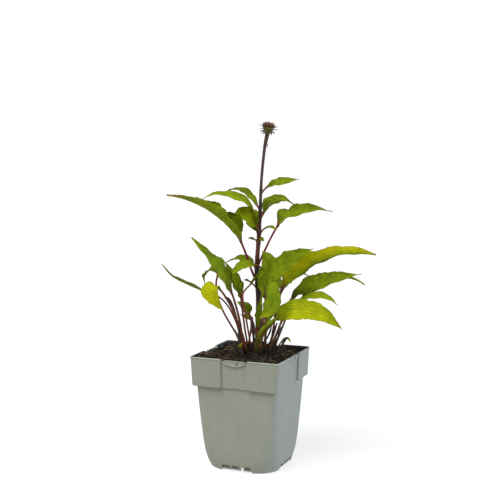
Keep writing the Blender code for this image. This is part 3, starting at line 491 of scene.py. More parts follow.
def pot_outside_material():
    p = Paint("pot_outside", 0.38)
    where = p.position()
    height = p.node("SeparateXYZ", {0: where}).outputs[2]
    cloud = p.noise(where, 26.0, 4.0)
    stretched = p.node("VectorMath", {0: where, 1: (1.0, 1.0, 0.12)}, operation="MULTIPLY").outputs[0]
    drawn = p.noise(stretched, 240.0)
    colour = p.ramp(cloud, (0.25, 0.162, 0.172, 0.134), (0.75, 0.186, 0.197, 0.156))
    colour = p.mix(p.span(drawn, 0.35, 0.75, 0.0, 0.20), colour, (0.225, 0.238, 0.200))
    scuff = p.both(p.cover(where, 210.0, 0.66, 0.74, 5.0), p.cover(where, 28.0, 0.55, 0.68), 0.4)
    colour = p.mix(scuff, colour, (0.09, 0.09, 0.075))
    # A lighter band in patches along the rim's top edge: a painted highlight.
    painted_rim_highlight = p.both(p.span(height, 0.1056, 0.1067), p.cover(where, 120.0, 0.35, 0.6), 0.5)
    colour = p.mix(painted_rim_highlight, colour, (0.30, 0.31, 0.27))
    splash = p.both(p.cover(where, 150.0, 0.62, 0.78, 4.0), p.span(height, 0.100, 0.107), 0.30)
    foot = p.both(p.cover(where, 90.0, 0.50, 0.75, 4.0), p.span(height, 0.022, 0.0), 0.22)
    colour = p.mix(p.plus(splash, foot, clamp=True), colour, (0.10, 0.08, 0.06))
    grain = p.plus(p.noise(where, 1500.0, 2.0), p.times(drawn, 0.6))
    return p.finish(colour, p.bump(grain, 0.00012, 0.35), p.span(cloud, 0.3, 0.7, 0.44, 0.56))


def pot_inside_material():
    p = Paint("pot_inside", 0.35)
    where = p.position()
    dust = p.cover(where, 130.0, 0.45, 0.80, 5.0)
    # The inside wall is painted near black as painted shade, with brown dust in patches.
    colour = p.mix(p.times(dust, 0.6), (0.012, 0.012, 0.012), (0.05, 0.038, 0.028))
    grain = p.noise(where, 900.0, 2.0)
    return p.finish(colour, p.bump(grain, 0.0002, 0.4), p.span(dust, 0.0, 1.0, 0.45, 0.8))


def soil_material():
    p = Paint("compost", 0.25)
    where = p.position()
    tone = p.plus(p.attribute("tone"), p.times(p.noise(where, 260.0, 5.0), 0.30), clamp=True)
    colour = p.ramp(
        tone, (0.0, 0.0025, 0.0018, 0.0013), (0.22, 0.007, 0.0048, 0.003), (0.42, 0.020, 0.012, 0.007),
        (0.62, 0.060, 0.031, 0.013), (0.82, 0.16, 0.095, 0.040), (1.0, 0.30, 0.23, 0.11),
    )
    rough = p.plus(p.noise(where, 700.0), p.noise(where, 2600.0, 2.0))
    return p.finish(colour, p.bump(rough, 0.0006, 0.9), p.span(p.noise(where, 90.0), 0.3, 0.7, 0.62, 0.95))


def stem_material():
    p = Paint("stem_skin", 0.2)
    along = p.attribute("along")
    streak = p.noise(p.vector(p.times(p.attribute("around"), 2.4), p.times(along, 0.05)), 1.0, 4.0)
    # Colour along the stem: brownish green at the soil, then a near-black stretch about 40 to 80 mm along
    # it that is painted shade, then red, dark purple and purple-brown.
    tone = p.ramp(
        p.span(along, 0.0, 210.0), (0.0, 0.050, 0.032, 0.012), (0.20, 0.026, 0.012, 0.010),
        (0.37, 0.018, 0.008, 0.008), (0.44, 0.110, 0.026, 0.016), (0.54, 0.060, 0.016, 0.016),
        (0.66, 0.024, 0.010, 0.011), (1.0, 0.044, 0.027, 0.019),
    )
    colour = p.mix(p.span(streak, 0.45, 0.75, 0.0, 0.6), tone, (0.085, 0.055, 0.035))
    colour = p.mix(p.span(streak, 0.50, 0.28, 0.0, 0.6), colour, (0.010, 0.005, 0.007))
    return p.finish(colour, p.bump(streak, 0.0003, 0.8), p.span(streak, 0.3, 0.7, 0.42, 0.62))


def toned_material(name, *stops):
    """A material coloured by each point's own tone, with a little grain."""
    p = Paint(name, 0.35)
    where = p.position()
    tone = p.plus(p.attribute("tone"), p.times(p.noise(where, 900.0), 0.35), clamp=True)
    return p.finish(p.ramp(tone, *stops), p.bump(p.noise(where, 2500.0), 0.0003, 0.7), 0.6)


def floor_material():
    white = (1.0, 1.0, 1.0)
    p = Paint("studio_floor", 0.0, Roughness=0.9, Emission_Color=white, Emission_Strength=FLOOR_GLOW)
    return p.finish(p.ramp(p.noise(p.position(), 3.0, 2.0), (0.3, 0.18, 0.18, 0.18), (0.7, 0.2, 0.2, 0.2)))


# Meshes


def show(name, data):
    obj = bpy.data.objects.new(name, data)
    bpy.context.scene.collection.objects.link(obj)
    return obj


def add_piece(name, points, faces, materials, attributes, slot=None, indexes=None, angle=180):
    """A mesh on the body, from points in millimetres about the pot. X_fine replaces the solid X."""
    mesh = bpy.data.meshes.new(name)
    moved = (np.asarray(points, float).reshape(-1, 3) + np.array(POT_CENTRE)) * MM
    mesh.from_pydata(moved.tolist(), [], [tuple(int(i) for i in face) for face in faces])
    for item in materials:
        mesh.materials.append(item)
    if indexes is not None:
        mesh.polygons.foreach_set("material_index", np.asarray(indexes, np.int32))
    for key, values in attributes.items():
        layer = mesh.attributes.new(key, "FLOAT", "POINT")
        layer.data.foreach_set("value", np.asarray(values, np.float32).ravel())
    work = bmesh.new()
    work.from_mesh(mesh)
    bmesh.ops.recalc_face_normals(work, faces=work.faces)
    work.to_mesh(mesh)
    work.free()
    mesh.shade_smooth()
    if angle < 180:
        mesh.set_sharp_from_angle(angle=radians(angle))
    obj = show(name, mesh)
    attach(obj, "root")
    solid = name.removesuffix("_fine")
    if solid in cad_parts:
        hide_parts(solid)
    return obj


def grid_faces(rings, size):
    """Faces of a closed loft of equal rings, with a cap at each end."""
    i = np.arange(rings - 1)[:, None] * size
    k = np.arange(size)[None, :]
    after = (k + 1) % size
    faces = np.stack([i + k, i + after, i + size + after, i + size + k], -1).reshape(-1, 4).tolist()
    return [*faces, list(range(size)), list(range((rings - 1) * size, rings * size))]


class Heap:
    """Closed lofts gathered into one mesh, each with its own values."""

    def __init__(self):
        self.points, self.faces, self.values = [], [], {}

    def add(self, rings, **values):
        start, size = len(self.points), len(rings[0])
        self.points.extend(p for ring in rings for p in ring)
        self.faces.extend([start + i for i in face] for face in grid_faces(len(rings), size))
        for key, value in values.items():
            listed = value if isinstance(value, list) else [value] * len(rings) * size
            self.values.setdefault(key, []).extend(listed)

    def make(self, name, material, **options):
        return add_piece(name, self.points, self.faces, [material], self.values, **options)


def plant_point(u, v, z):
    return TURN @ Vector((u, v, z))


def round_about(angle, z=0.0):
    """The direction at an angle in the ground plane, raised by z."""
    return Vector((cos(angle), sin(angle), z))


def smooth(share):
    share = min(max(share, 0.0), 1.0)
    return share * share * (3 - 2 * share)


def bell(x):
    """1 at zero, falling to 0 on both sides."""
    return exp(-x * x)


def drift(*place):
    """Smooth random values from about -1 to 1."""
    return noise.noise(Vector(place))


def curve_through(points):
    """A Catmull-Rom curve: (distance along, position) samples, and each point's distance."""
    ends = [points[0] * 2 - points[1], *points, points[-1] * 2 - points[-2]]
    samples = [(0.0, points[0])]
    stops = [0.0]
    for i in range(1, len(ends) - 2):
        before, start, end, after = ends[i - 1 : i + 3]
        for step in range(1, CURVE_STEPS + 1):
            t = step / CURVE_STEPS
            p = 0.5 * (
                2 * start + (end - before) * t + (2 * before - 5 * start + 4 * end - after) * t * t
                + (3 * start - before - 3 * end + after) * t ** 3
            )
            samples.append((samples[-1][0] + (p - samples[-1][1]).length, p))
        stops.append(samples[-1][0])
    return samples, stops


def point_at(samples, distance):
    for (d0, p0), (d1, p1) in zip(samples, samples[1:]):
        if distance <= d1:
            return p0.lerp(p1, (distance - d0) / max(d1 - d0, 1e-9))
    return samples[-1][1]


def place_at(samples, distance):
    """The point at a distance along a curve, and the curve's direction there."""
    reach = 1.2
    step = point_at(samples, distance + reach) - point_at(samples, max(distance - reach, 0.0))
    return point_at(samples, distance), step.normalized()


def ring_round(centre, direction, radius, sides, phase=0.0, squeeze=1.0):
    axis = direction.normalized()
    across = axis.cross(Vector((0.31, 0.95, 0.05))).normalized()
    up = axis.cross(across)
    angles = [2 * pi * k / sides + phase for k in range(sides)]
    return [centre + across * cos(a) * radius + up * sin(a) * radius * squeeze for a in angles]


# Leaves


def blade_width(share, peak):
    if share <= 0 or share >= 1:
        return 0.0
    low = (share / peak) ** (SHAPE_POWER * peak)
    high = ((1 - share) / (1 - peak)) ** (SHAPE_POWER * (1 - peak))
    return low * high


def edge_factor(name, share, way, phases):
    """How much wider than the plain outline one edge is. way is -1 or 1, for the two edges."""
    large = drift(share * 6, phases[0] + way * 3, 0.5)
    small = drift(share * 21, phases[1] + way * 3, 2.5)
    factor = 1 + EDGE_UNEVEN * (large + 0.4 * small)
    for edge, place, depth, spread in NOTCHES.get(name, ()):
        if edge == way:
            factor += depth * bell((share - place) / spread)
    return factor


def soil_root(points):
    """Where a stalk ends down in the soil."""
    back = (points[0] - points[1]).normalized()
    return points[0] + (back + Vector((0, 0, -0.8))).normalized() * PETIOLE_ROOT


def make_leaf(spec, rooted, material):
    """One leaf with its stalk: a thin closed blade with a rib under it, toothed edges and a quilted face.

    A rooted leaf's stalk goes down into the soil. The others end at the stem.
    """
    name, blade_from, width, lean, fold, wave, peak, yellow, across_yellow, olive, route = spec
    rng = random.Random(name)
    points = [plant_point(*p) for p in route]
    samples, stops = curve_through(points)
    end = stops[-1]
    first = 0.0 if rooted else STEM_GAP
    blade_start = max(stops[blade_from], first + 3)
    radius = 0.85 + 0.019 * width
    fold_angle = radians(fold)
    facing = copysign(radians(lean), route[-1][0] - route[0][0])
    along = points[-1] - points[0]
    flat_side = Vector((along.x, along.y, 0)).cross(UP).normalized()
    count = round((end - first) / STATION)
    distances = [first + (end - first) * k / count for k in range(count + 1)]
    if rooted:
        distances = [-PETIOLE_ROOT, *distances]
    even = np.linspace(-1, 1, ROWS)
    s = even * (1 + 0.12 * (1 - np.abs(even)))
    s = np.sign(s) * np.minimum(np.abs(s), 1)
    size = np.abs(s)
    both = np.concatenate([s, s[::-1]])
    hump = np.sqrt(np.maximum(0.0, 1 - size ** 2))
    phases = [rng.uniform(0, 6.3) for _ in range(6)]
    tooth_shift = rng.uniform(0, TOOTH_SPACING)
    rust_start, rust_strength = RUST.get(name, RUST_ELSEWHERE)
    rings, values = [], {}
    for distance in distances:
        at = max(distance, 0.0)
        centre, tangent = place_at(samples, at)
        if distance < 0:
            centre = soil_root(points)
        side = (flat_side - tangent * flat_side.dot(tangent)).normalized()
        share = (at - blade_start) / (end - blade_start)
        grown = max(share, 0.0)
        side = Matrix.Rotation(facing * smooth((share + 0.5) / 0.7), 3, tangent) @ side
        up = np.array(side.cross(tangent))
        blade = smooth(share / 0.12)
        thin = radius * (1 - 0.55 * grown) * (0.86 if share < 0 else 1.0)
        half = 0.5 * width * blade_width(share, peak)
        saw = ((at - blade_start + tooth_shift + 2 * sin(at * 0.31 + phases[2])) / TOOTH_SPACING) % 1.0
        least = max(radius * 0.86 * (1 - 0.85 * grown), 0.16)
        tooth = TOOTH_DEPTH * min(1.0, half / 6) * (2 * saw - 1) * blade
        left, right = (edge_factor(name, share, way, phases) for way in (-1, 1))
        half = np.where(s < 0, max(half * left + tooth, least), max(half * right - tooth, least))
        middle = float(half.mean())
        ripple = wave * sin(9 * share + len(name) + width) * s * size
        frill = (0.05 + 0.05 * wave) * half * size ** 3
        frill = frill * np.where(s > 0, sin(24 * share + phases[2]), sin(27 * share + phases[3]))
        lift = half * sin(fold_angle) * size ** 1.2 + ripple + frill
        quilt = 0.020 * half * (np.abs(np.sin(size * pi * 3.1)) - 0.4) * (1 - size ** 4)
        pucker = np.array([drift(at * 0.16, v * middle * 0.22, phases[4]) for v in s]) * 0.05 * half
        groove = -0.35 * np.exp(-((s * half / 0.8) ** 2)) * min(1.0, middle / 4)
        across = s * half * np.cos(fold_angle * size)
        stalk_top = thin * (0.72 * hump - 0.30 * np.exp(-((s * 2.4) ** 2)) + 0.1)
        stalk_low = thin * (0.15 + 0.98 * hump)
        rib = 0.85 * thin * np.exp(-((s * half / (0.55 * thin + 0.2)) ** 2)) * (1 - 0.75 * grown)
        height = (lift + quilt + pucker + groove) * blade + stalk_top * (1 - blade)
        thick = BLADE_THICKNESS * (1 - 0.6 * size ** 4) + rib
        depth = thick * blade + (stalk_low + stalk_top) * (1 - blade)
        base = np.array(centre) + np.outer(across, np.array(side))
        lower = base + np.outer(height - depth, up)
        rings.append([*(base + np.outer(height, up)), *lower[::-1]])
        tint = yellow + across_yellow * (both if facing >= 0 else -both) * smooth(share / 0.35)
        tint = tint + 0.15 * smooth((share - 0.8) * 5) - 0.3 * yellow * (1 - smooth(share / 0.3))
        row = {
            "across": both, "half": [*half, *half[::-1]], "along": at - blade_start,
            "yellow": np.clip(tint, 0.02, 1.0), "top": [1.0] * ROWS + [0.0] * ROWS, "stalk": 1 - blade,
            "olive": olive, "rust": rust_strength * smooth((share - rust_start) / (1 - rust_start)),
        }
        for key, value in row.items():
            values.setdefault(key, []).extend(np.broadcast_to(value, 2 * ROWS))
    heap = Heap()
    heap.add(rings, **values)
    heap.make(name + "_fine", material, slot=SLOTS.get(name, "leaf"))


# Stem and flower head


def stem_stretch(stops, distance):
    """Which stretch of the stem a distance lies in, and the share of that stretch."""
    at = max(i for i in range(len(stops) - 1) if stops[i] <= distance + 1e-6)
    return at, (distance - stops[at]) / (stops[at + 1] - stops[at])


def make_stem(material, leaf_starts):
    """The main stem, thicker at each joint with a leaf, with short bristles and one small scale leaf."""
    draw = random.Random(11).uniform
    samples, stops = curve_through([plant_point(*p[:3]) for p in STEM])
    end = stops[-1]
    joints = [min(samples, key=lambda sample: (sample[1] - start).length)[0] for start in leaf_starts]
    heap, rings, alongs, arounds = Heap(), [], [], []
    count = round(end)
    for step in range(count + 1):
        distance = end * step / count
        at, share = stem_stretch(stops, distance)
        radius = STEM[at][3] + share * (STEM[at + 1][3] - STEM[at][3])
        knot = sum(bell((distance - joint - 2.2) / 2.4) for joint in joints)
        radius *= 0.94 + 0.10 * min(knot, 1.6)
        centre, tangent = place_at(samples, distance)
        across = (Vector((1, 0, 0)) - tangent * tangent.x).normalized()
        up = tangent.cross(across)
        ring = []
        for k in range(STEM_SIDES):
            angle = 2 * pi * k / STEM_SIDES
            ridge = 1 + 0.035 * cos(7 * angle + distance * 0.02)
            ridge += 0.03 * drift(cos(angle) * 1.5, sin(angle) * 1.5, distance * 0.12)
            ring.append(centre + (across * cos(angle) + up * sin(angle)) * radius * ridge)
            alongs.append(distance)
            arounds.append(k * 0.7)
        rings.append(ring)
    heap.add(rings, along=alongs, around=arounds)
    for _ in range(BRISTLES):
        distance = draw(end * 0.2, end * 0.99)
        centre, tangent = place_at(samples, distance)
        outward = Matrix.Rotation(draw(0, 2 * pi), 3, tangent) @ tangent.orthogonal().normalized()
        foot = centre + outward * STEM[stem_stretch(stops, distance)[0]][3] * 0.9
        tip = foot + (outward + tangent * 0.4).normalized() * draw(0.5, 1.1)
        hair = [ring_round(foot, outward, BRISTLE_RADIUS, 3), ring_round(tip, outward, 0.012, 3)]
        heap.add(hair, along=distance, around=draw(0, 20))
    centre = point_at(samples, end * SCALE_PLACE)
    outward = plant_point(0.85, -0.5, 0)
    sideways = outward.cross(UP)
    scale = []
    for step in range(7):
        share = step / 6
        place = centre + outward * (1.2 + 1.5 * sin(share * 1.9)) + Vector((0, 0, 2.0 - 5.5 * share))
        half = sideways * 0.75 * sin(pi * (0.12 + 0.86 * share))
        scale.append([place - half, place - outward * 0.2, place + half, place + outward * 0.15])
    heap.add(scale, along=208.0, around=9.0)
    heap.make("main_stem_fine", material, slot="stem")


def make_stalk(name, route, radius, material):
    points = [plant_point(*p) for p in route]
    samples, stops = curve_through([soil_root(points), *points])
    count = max(8, round(stops[-1] / 1.2))
    heap, rings, alongs = Heap(), [], []
    for step in range(count + 1):
        distance = stops[-1] * step / count
        centre, tangent = place_at(samples, distance)
        ring = ring_round(centre, tangent, radius * (1.0 if step < count - 2 else 0.75), STALK_SIDES)
        rings.append([
            centre + (p - centre) * (0.92 + 0.28 * drift(k * 0.8, distance * 0.35, radius))
            for k, p in enumerate(ring)
        ])
        alongs.extend([distance] * STALK_SIDES)
    arounds = [k * 0.9 for k in range(STALK_SIDES)] * (count + 1)
    heap.add(rings, along=alongs, around=arounds)
    heap.make(name + "_fine", material, slot="withered")


def place_head(points):
    lean = Matrix.Rotation(radians(HEAD_LEAN), 4, plant_point(0, 1, 0))
    matrix = Matrix.Translation(plant_point(*HEAD_BASE)) @ lean
    return [matrix @ Vector(p) for p in points]


def turned_ring(radius, z):
    angles = [2 * pi * k / HEAD_SIDES for k in range(HEAD_SIDES)]
    return place_head([(radius * cos(a), radius * sin(a), z) for a in angles])


def make_involucre(material):
    draw = random.Random(5).uniform
    heap = Heap()
    heap.add([turned_ring(r * 0.97, z - 0.25) for z, r in RECEPTACLE], tone=0.15)
    for whorl, (count, root_z, length, width, bend, rise, root_tone, tip_tone) in enumerate(BRACT_WHORLS):
        for k in range(count):
            angle = 2 * pi * (k + 0.5 * (whorl % 2) + draw(-0.18, 0.18)) / count
            outward, sideways = round_about(angle), round_about(angle + pi / 2)
            centre = outward * (1.5 + 0.55 * root_z) + UP * (root_z + draw(-0.2, 0.2))
            pitch = radians(rise + draw(-8, 8))
            reach = length * draw(0.88, 1.06)
            curl = radians(bend * draw(0.8, 1.2))
            twist = draw(-0.3, 0.3)
            rings, tones = [], []
            for step in range(BRACT_STEPS + 1):
                share = step / BRACT_STEPS
                direction = outward * cos(pitch) + UP * sin(pitch)
                across = (sideways + outward * twist * share).normalized()
                upright = across.cross(direction).normalized()
                half = 0.5 * width * max(0.07, (1 - share ** 2.4)) * (0.85 + 0.5 * share * (1 - share))
                thick = 0.16 * (1 - 0.7 * share)
                rows = (-1, -0.5, 0, 0.5, 1)
                heights = [thick * 0.5] * 5
                heights += [-thick - 0.14 * (1 - abs(row)) * (1 - share) for row in rows]
                rings.append(place_head([
                    centre + across * half * row + upright * (0.16 * abs(row) * half + height)
                    for row, height in zip(rows + rows[::-1], heights)
                ]))
                tones.extend([root_tone + (tip_tone - root_tone) * share] * 10)
                centre = centre + direction * (reach / BRACT_STEPS)
                pitch -= curl / BRACT_STEPS
            heap.add(rings, tone=tones)
    heap.make("involucre_fine", material, slot="bract")


def make_disc(material):
    draw = random.Random(8).uniform
    heap = Heap()
    dome = [turned_ring(DISC_RADIUS * 0.7, DISC_BASE - 0.3)]
    for step in range(DOME_STEPS):
        angle = pi / 2 * step / DOME_STEPS
        z = DISC_BASE + DISC_HEIGHT * DOME_SHARE * sin(angle)
        dome.append(turned_ring(DISC_RADIUS * 0.9 * cos(angle), z))
    heap.add(dome, tone=0.08)
    golden = pi * (3 - sqrt(5))
    for k in range(DISC_SCALES):
        height = 1 - (k + 0.5) / DISC_SCALES
        outward = round_about(k * golden) * sqrt(1 - height * height) + UP * height
        wide = DISC_RADIUS * 0.86
        low = DISC_BASE + height * DISC_HEIGHT * DOME_SHARE - 0.5
        foot = Vector((outward.x * wide, outward.y * wide, low))
        lean = Vector((draw(-0.2, 0.2), draw(-0.2, 0.2), 1.0 - 0.6 * height))
        direction = (outward + lean).normalized()
        length = draw(2.6, 4.0) * (0.75 + 0.25 * height)
        rings, tones, shade = [], [], draw(0.05, 0.4)
        for share, radius in SCALE_SHAPE:
            centre = foot + direction * share * length
            rings.append(place_head(ring_round(centre, direction, radius, 6, 0.0, 0.55)))
            tones.extend([shade + 0.45 * share] * 6)
        heap.add(rings, tone=tones)
    heap.make("flower_disc_fine", material, slot="disc")


# Pot


def body_at(z):
    """The body's half side and corner radius at a height."""
    for (z0, half0, radius0), (z1, half1, radius1) in zip(BODY, BODY[1:]):
        if z <= z1:
            share = (z - z0) / (z1 - z0)
            return half0 + share * (half1 - half0), radius0 + share * (radius1 - radius0)
    return BODY[-1][1:]


def smooth_body_at(z):
    """The same, eased between the stated heights."""
    reach = min(3.0, z, BAND_LOW - z)
    values = [body_at(z + reach * step / 2) for step in (-2, -1, 0, 1, 2)]
    return tuple(sum(v[i] for v in values) / 5 for i in (0, 1))


def band_half_at(z):
    share = (z - BAND_LOW) / (POT_HEIGHT - BAND_LOW)
    return BAND_BOTTOM_HALF + share * (BAND_TOP_HALF - 0.5 - BAND_BOTTOM_HALF)


def square_ring(half, radius, z, offset=None, dip=None, places=POT_PLACES, corner_steps=CORNER_STEPS):
    """A rounded square. offset sets its sides back and dip lowers them, by the place across."""
    flat = half - radius
    ring = []
    for side in range(4):
        turn = Matrix.Rotation(side * pi / 2, 3, "Z")
        for place in places:
            back = offset(place) if offset else 0.0
            low = dip(place) if dip else 0.0
            ring.append(turn @ Vector((place * flat / places[-1], back - half, z - low)))
        for step in range(1, corner_steps):
            angle = -pi / 2 * (1 - step / corner_steps)
            ring.append(turn @ Vector((flat + radius * cos(angle), -flat + radius * sin(angle), z)))
    return ring


def step_up(value, edge, soft=0.25):
    return smooth((value - edge) / (2 * soft) + 0.5)


def plate_mask(place, z):
    """1 on the proud corner plates and 0 in the recess. A plate's lower corner is rounded."""
    inside = step_up(abs(place), RECESS_HALF)
    dx, dz = RECESS_HALF + PLATE_CORNER - abs(place), BAND_LOW + PLATE_CORNER - z
    if dx > 0 and dz > 0:
        inside *= step_up(PLATE_CORNER, hypot(dx, dz))
    return inside


def tab_mask(place, z):
    """1 on the half-round tab in the recess and 0 beside and below it."""
    drop = POT_HEIGHT - RIM_DIP - z
    reach = 1 - (place / TAB_HALF) ** 2
    edge = (TAB_DROP - RIM_DIP) * sqrt(reach) if reach > 0 else -1.0
    return step_up(edge, drop, 0.16)


def rim_dip(place):
    """How far the rim drops in the recess. It drops most at both ends of the tab."""
    x = abs(place)
    return TAB_SINK * (1 - step_up(x, RECESS_HALF, 0.9)) + NOTCH_DIP * bell((x - NOTCH_PLACE) / 1.5)


def box_rings(x0, x1, y0, y1, z0, z1, side):
    turn = Matrix.Rotation(side * pi / 2, 3, "Z")
    corners = ((x0, y0), (x1, y0), (x1, y1), (x0, y1))
    return [[turn @ Vector((x, y, z)) for x, y in corners] for z in (z0, z1)]


def make_pot(outside, inside):
    half, radius = body_at(0.0)
    low_half, low_radius = body_at(FLOOR_LOW)
    rings = [
        square_ring(low_half - FOOT_WALL, low_radius - FOOT_WALL, FLOOR_LOW),
        square_ring(half - FOOT_WALL, radius - FOOT_WALL, 0.25),
        square_ring(half - FOOT_WALL + 0.3, radius - FOOT_WALL + 0.3, 0.0),
        square_ring(half - 0.35, radius - 0.35, 0.0),
    ]
    rings += [square_ring(*smooth_body_at(z), z) for z in BODY_HEIGHTS]
    rings.append(square_ring(*BODY[-1][1:], BAND_LOW - 0.15))
    top = POT_HEIGHT - RIM_DIP
    for z in BAND_HEIGHTS:
        round_low = 0.5 if z == BAND_START else 0.0
        lip = 0.5 * step_up(z, POT_HEIGHT - 1.4, 0.3) - 0.35 * smooth((z - 106.4) / 0.5)

        def offset(place):
            tab = 0.6 + 0.26 * max(top - z, 0.0)
            hole = 1.7 * step_up(0.95, hypot(place - 3.2, z - 103.6), 0.2)
            return BAND_DEPTH * (1 - plate_mask(place, z)) - tab * tab_mask(place, min(z, top)) + hole

        def dip(place):
            return rim_dip(place) * smooth((z - 99.0) / (POT_HEIGHT - 99.0))

        rings.append(square_ring(band_half_at(z) + lip - round_low, BAND_RADIUS, z, offset, dip))

    def crest(place):
        return BAND_DEPTH * (1 - plate_mask(place, POT_HEIGHT)) - tab_mask(place, top)

    def back(place):
        return BAND_DEPTH * (1 - step_up(abs(place), RECESS_HALF + 1.2, 0.5))

    rings.append(square_ring(BAND_TOP_HALF - 0.5, BAND_RADIUS, POT_HEIGHT, crest, rim_dip))
    inside_from = len(rings)
    inner = BAND_TOP_HALF - WALL
    rings.append(square_ring(inner, BAND_RADIUS - 0.9, POT_HEIGHT - 0.05, back, rim_dip))
    rings.append(square_ring(inner - 0.35, BAND_RADIUS - 1.1, POT_HEIGHT - 0.5, back, rim_dip))
    for z in (104, 100, 96, 90, 84, BAND_LOW + WALL):
        rings.append(square_ring(band_half_at(z) - WALL, BAND_RADIUS - 0.8, z, back))
    for z in (BAND_LOW + WALL, 66.0, 50.0, 28.0, 14.0, FLOOR_TOP):
        inner_half, inner_radius = body_at(z)
        rings.append(square_ring(inner_half - WALL, inner_radius - WALL, z))
    size = len(rings[0])
    faces = grid_faces(len(rings), size)
    indexes = [int(i // size >= inside_from) for i in range(len(faces) - 2)] + [0, 1]
    points = [p for ring in rings for p in ring]
    pot = add_piece("pot_fine", points, faces, [outside, inside], {}, "pot", indexes, angle=32)
    cuts = Heap()
    for side in range(4):
        for x0, x1, deep, z0, z1 in FOOT_CUTS:
            cuts.add(box_rings(x0, x1, -half - 4, -half + deep, z0, z1, side))
    drains = [(x, y) for x in (-DRAIN_OFFSET, DRAIN_OFFSET) for y in (-DRAIN_OFFSET, DRAIN_OFFSET)]
    for x, y in [*drains, (0.0, 0.0)]:
        cuts.add([ring_round(Vector((x, y, FLOOR_LOW + h)), UP, DRAIN_RADIUS, 32) for h in (-2, 3)])
    cutter = cuts.make("pot_cuts", outside)
    modifier = pot.modifiers.new("cuts", "BOOLEAN")
    modifier.operation = "DIFFERENCE"
    modifier.object = cutter
    modifier.solver = "EXACT"
    modifier.use_self = True
    graph = bpy.context.evaluated_depsgraph_get()
    made = bpy.data.meshes.new_from_object(pot.evaluated_get(graph))
    pot.modifiers.clear()
    pot.data = made
    bpy.data.objects.remove(cutter)


# Soil


def near(place, radius, x, y):
    """1 at a place given as u and v, down to 0 away from it."""
    centre = plant_point(*place, 0)
    return bell(hypot(x - centre.x, y - centre.y) / radius)


def wetness(p, share=1.0):
    """share in front of the crown, where the compost is wet and dark, down to 0."""
    return share * near(WET_PLACE, WET_RADIUS, p.x, p.y)


def soil_height(x, y):
    """The heaped soil's height, with lumps."""
    mound = SOIL_MOUND * near(CROWN, SOIL_MOUND_RADIUS, x, y)
    clump = CLUMP_HEIGHT * near(CROWN, CLUMP_RADIUS, x, y)
    rough = SOIL_ROUGHNESS * (drift(x * 0.11, y * 0.11, 0.4) + 0.6 * drift(x * 0.31, y * 0.31, 3.7))
    lumps = 1.1 * drift(x * 0.42, y * 0.42, 8.1) + 0.8 * drift(x * 0.95, y * 0.95, 2.3)
    cell = 0.35 * noise.cell(Vector((x * 0.55, y * 0.55, 1.0))) - 0.3
    heaped = HEAP_HEIGHT * smooth((-x - 16) / 18) * smooth((10 - y) / 26)
    return SOIL_EDGE + mound + clump + rough + lumps + cell + heaped


def soil_ring(half, radius, z):
    return square_ring(half, radius, z, places=SOIL_PLACES, corner_steps=SOIL_CORNER_STEPS)


def make_soil(material):
    inset = WALL + SOIL_GAP
    rings = []
    for z in (FLOOR_TOP + 0.3, 14.0, 28.0, 50.0, 66.0, BAND_LOW - 0.5):
        half, radius = body_at(z)
        rings.append(soil_ring(half - inset, radius - inset, z))
    step = BAND_LOW + WALL + 0.3
    rings.append([Vector((p.x, p.y, step)) for p in rings[-1]])
    rings.append(soil_ring(BAND_BOTTOM_HALF - inset - BAND_DEPTH, 1.4, step))
    edge = soil_ring(BAND_TOP_HALF - 0.9 - inset - BAND_DEPTH, 1.4, 0.0)
    crown = plant_point(*CROWN, 0)
    for k in range(SOIL_RINGS):
        ring = [crown + (p - crown) * (1 - SOIL_STEP * k) for p in edge]
        rings.append([Vector((p.x, p.y, soil_height(p.x, p.y))) for p in ring])
    points = [p for ring in rings for p in ring]
    tones = [0.10 + 0.22 * drift(p.x * 0.5, p.y * 0.5, 4.0) - wetness(p, 0.16) for p in points]
    heap = Heap()
    heap.add(rings, tone=tones)
    heap.make("soil_fine", material, slot="soil", angle=60)


def scatter_place(rng, raised=0.0):
    x, y = rng.uniform(-SOIL_HALF, SOIL_HALF), rng.uniform(-SOIL_HALF, SOIL_HALF)
    return Vector((x, y, soil_height(x, y) + raised))


def rough_rings(rng, place, direction, stations, uneven, *shape):
    """Uneven rings along a direction, one for each pair of distance and radius."""
    rings = []
    for distance, radius in stations:
        centre = place + direction * distance
        ring = ring_round(centre, direction, radius, *shape)
        rings.append([centre + (p - centre) * rng.uniform(1 - uneven, 1 + uneven) for p in ring])
    return rings


def make_crumbs(rng, material):
    heap = Heap()
    for _ in range(CRUMBS):
        place = scatter_place(rng)
        size = rng.choice((0.6, 0.9, 1.2, 1.7)) * rng.uniform(0.8, 1.25)
        tone = rng.choice((0.02, 0.06, 0.12, 0.18, 0.24, 0.32, 0.38 if rng.random() < 0.3 else 0.1))
        direction = Vector([rng.uniform(-1, 1) for _ in range(3)]).normalized()
        shape = ((-0.95, 0.25), (-0.5, 0.8), (0.1, 1.0), (0.6, 0.75), (0.95, 0.22))
        stations = [(share * size, radius * size) for share, radius in shape]
        rings = rough_rings(rng, place + UP * size * 0.25, direction, stations, 0.25, 7, 0.0, 0.85)
        heap.add(rings, tone=tone * (1 - wetness(place, DIMMED)))
    heap.make("soil_crumbs", material, slot="soil", angle=50)


def make_chips(rng, material):
    heap = Heap()
    for _ in range(CHIPS):
        place = scatter_place(rng, 0.5)
        length, width = rng.uniform(2.5, 8.5), rng.uniform(0.9, 2.4)
        direction = round_about(rng.uniform(0, 2 * pi), rng.uniform(-0.25, 0.35)).normalized()
        shape = ((-0.5, 0.275), (-0.42, 0.5), (-0.1, 0.5), (0.25, 0.5), (0.46, 0.275), (0.5, 0.275))
        stations = [(share * length, radius * width) for share, radius in shape]
        rings = rough_rings(rng, place, direction, stations, 0.2, 6, 0.3, 0.38)
        heap.add(rings, tone=rng.choice((0.12, 0.22, 0.32, 0.40, 0.48, 0.2)) * (1 - wetness(place, DIMMED)))
    heap.make("soil_bark_chips", material, slot="soil", angle=40)


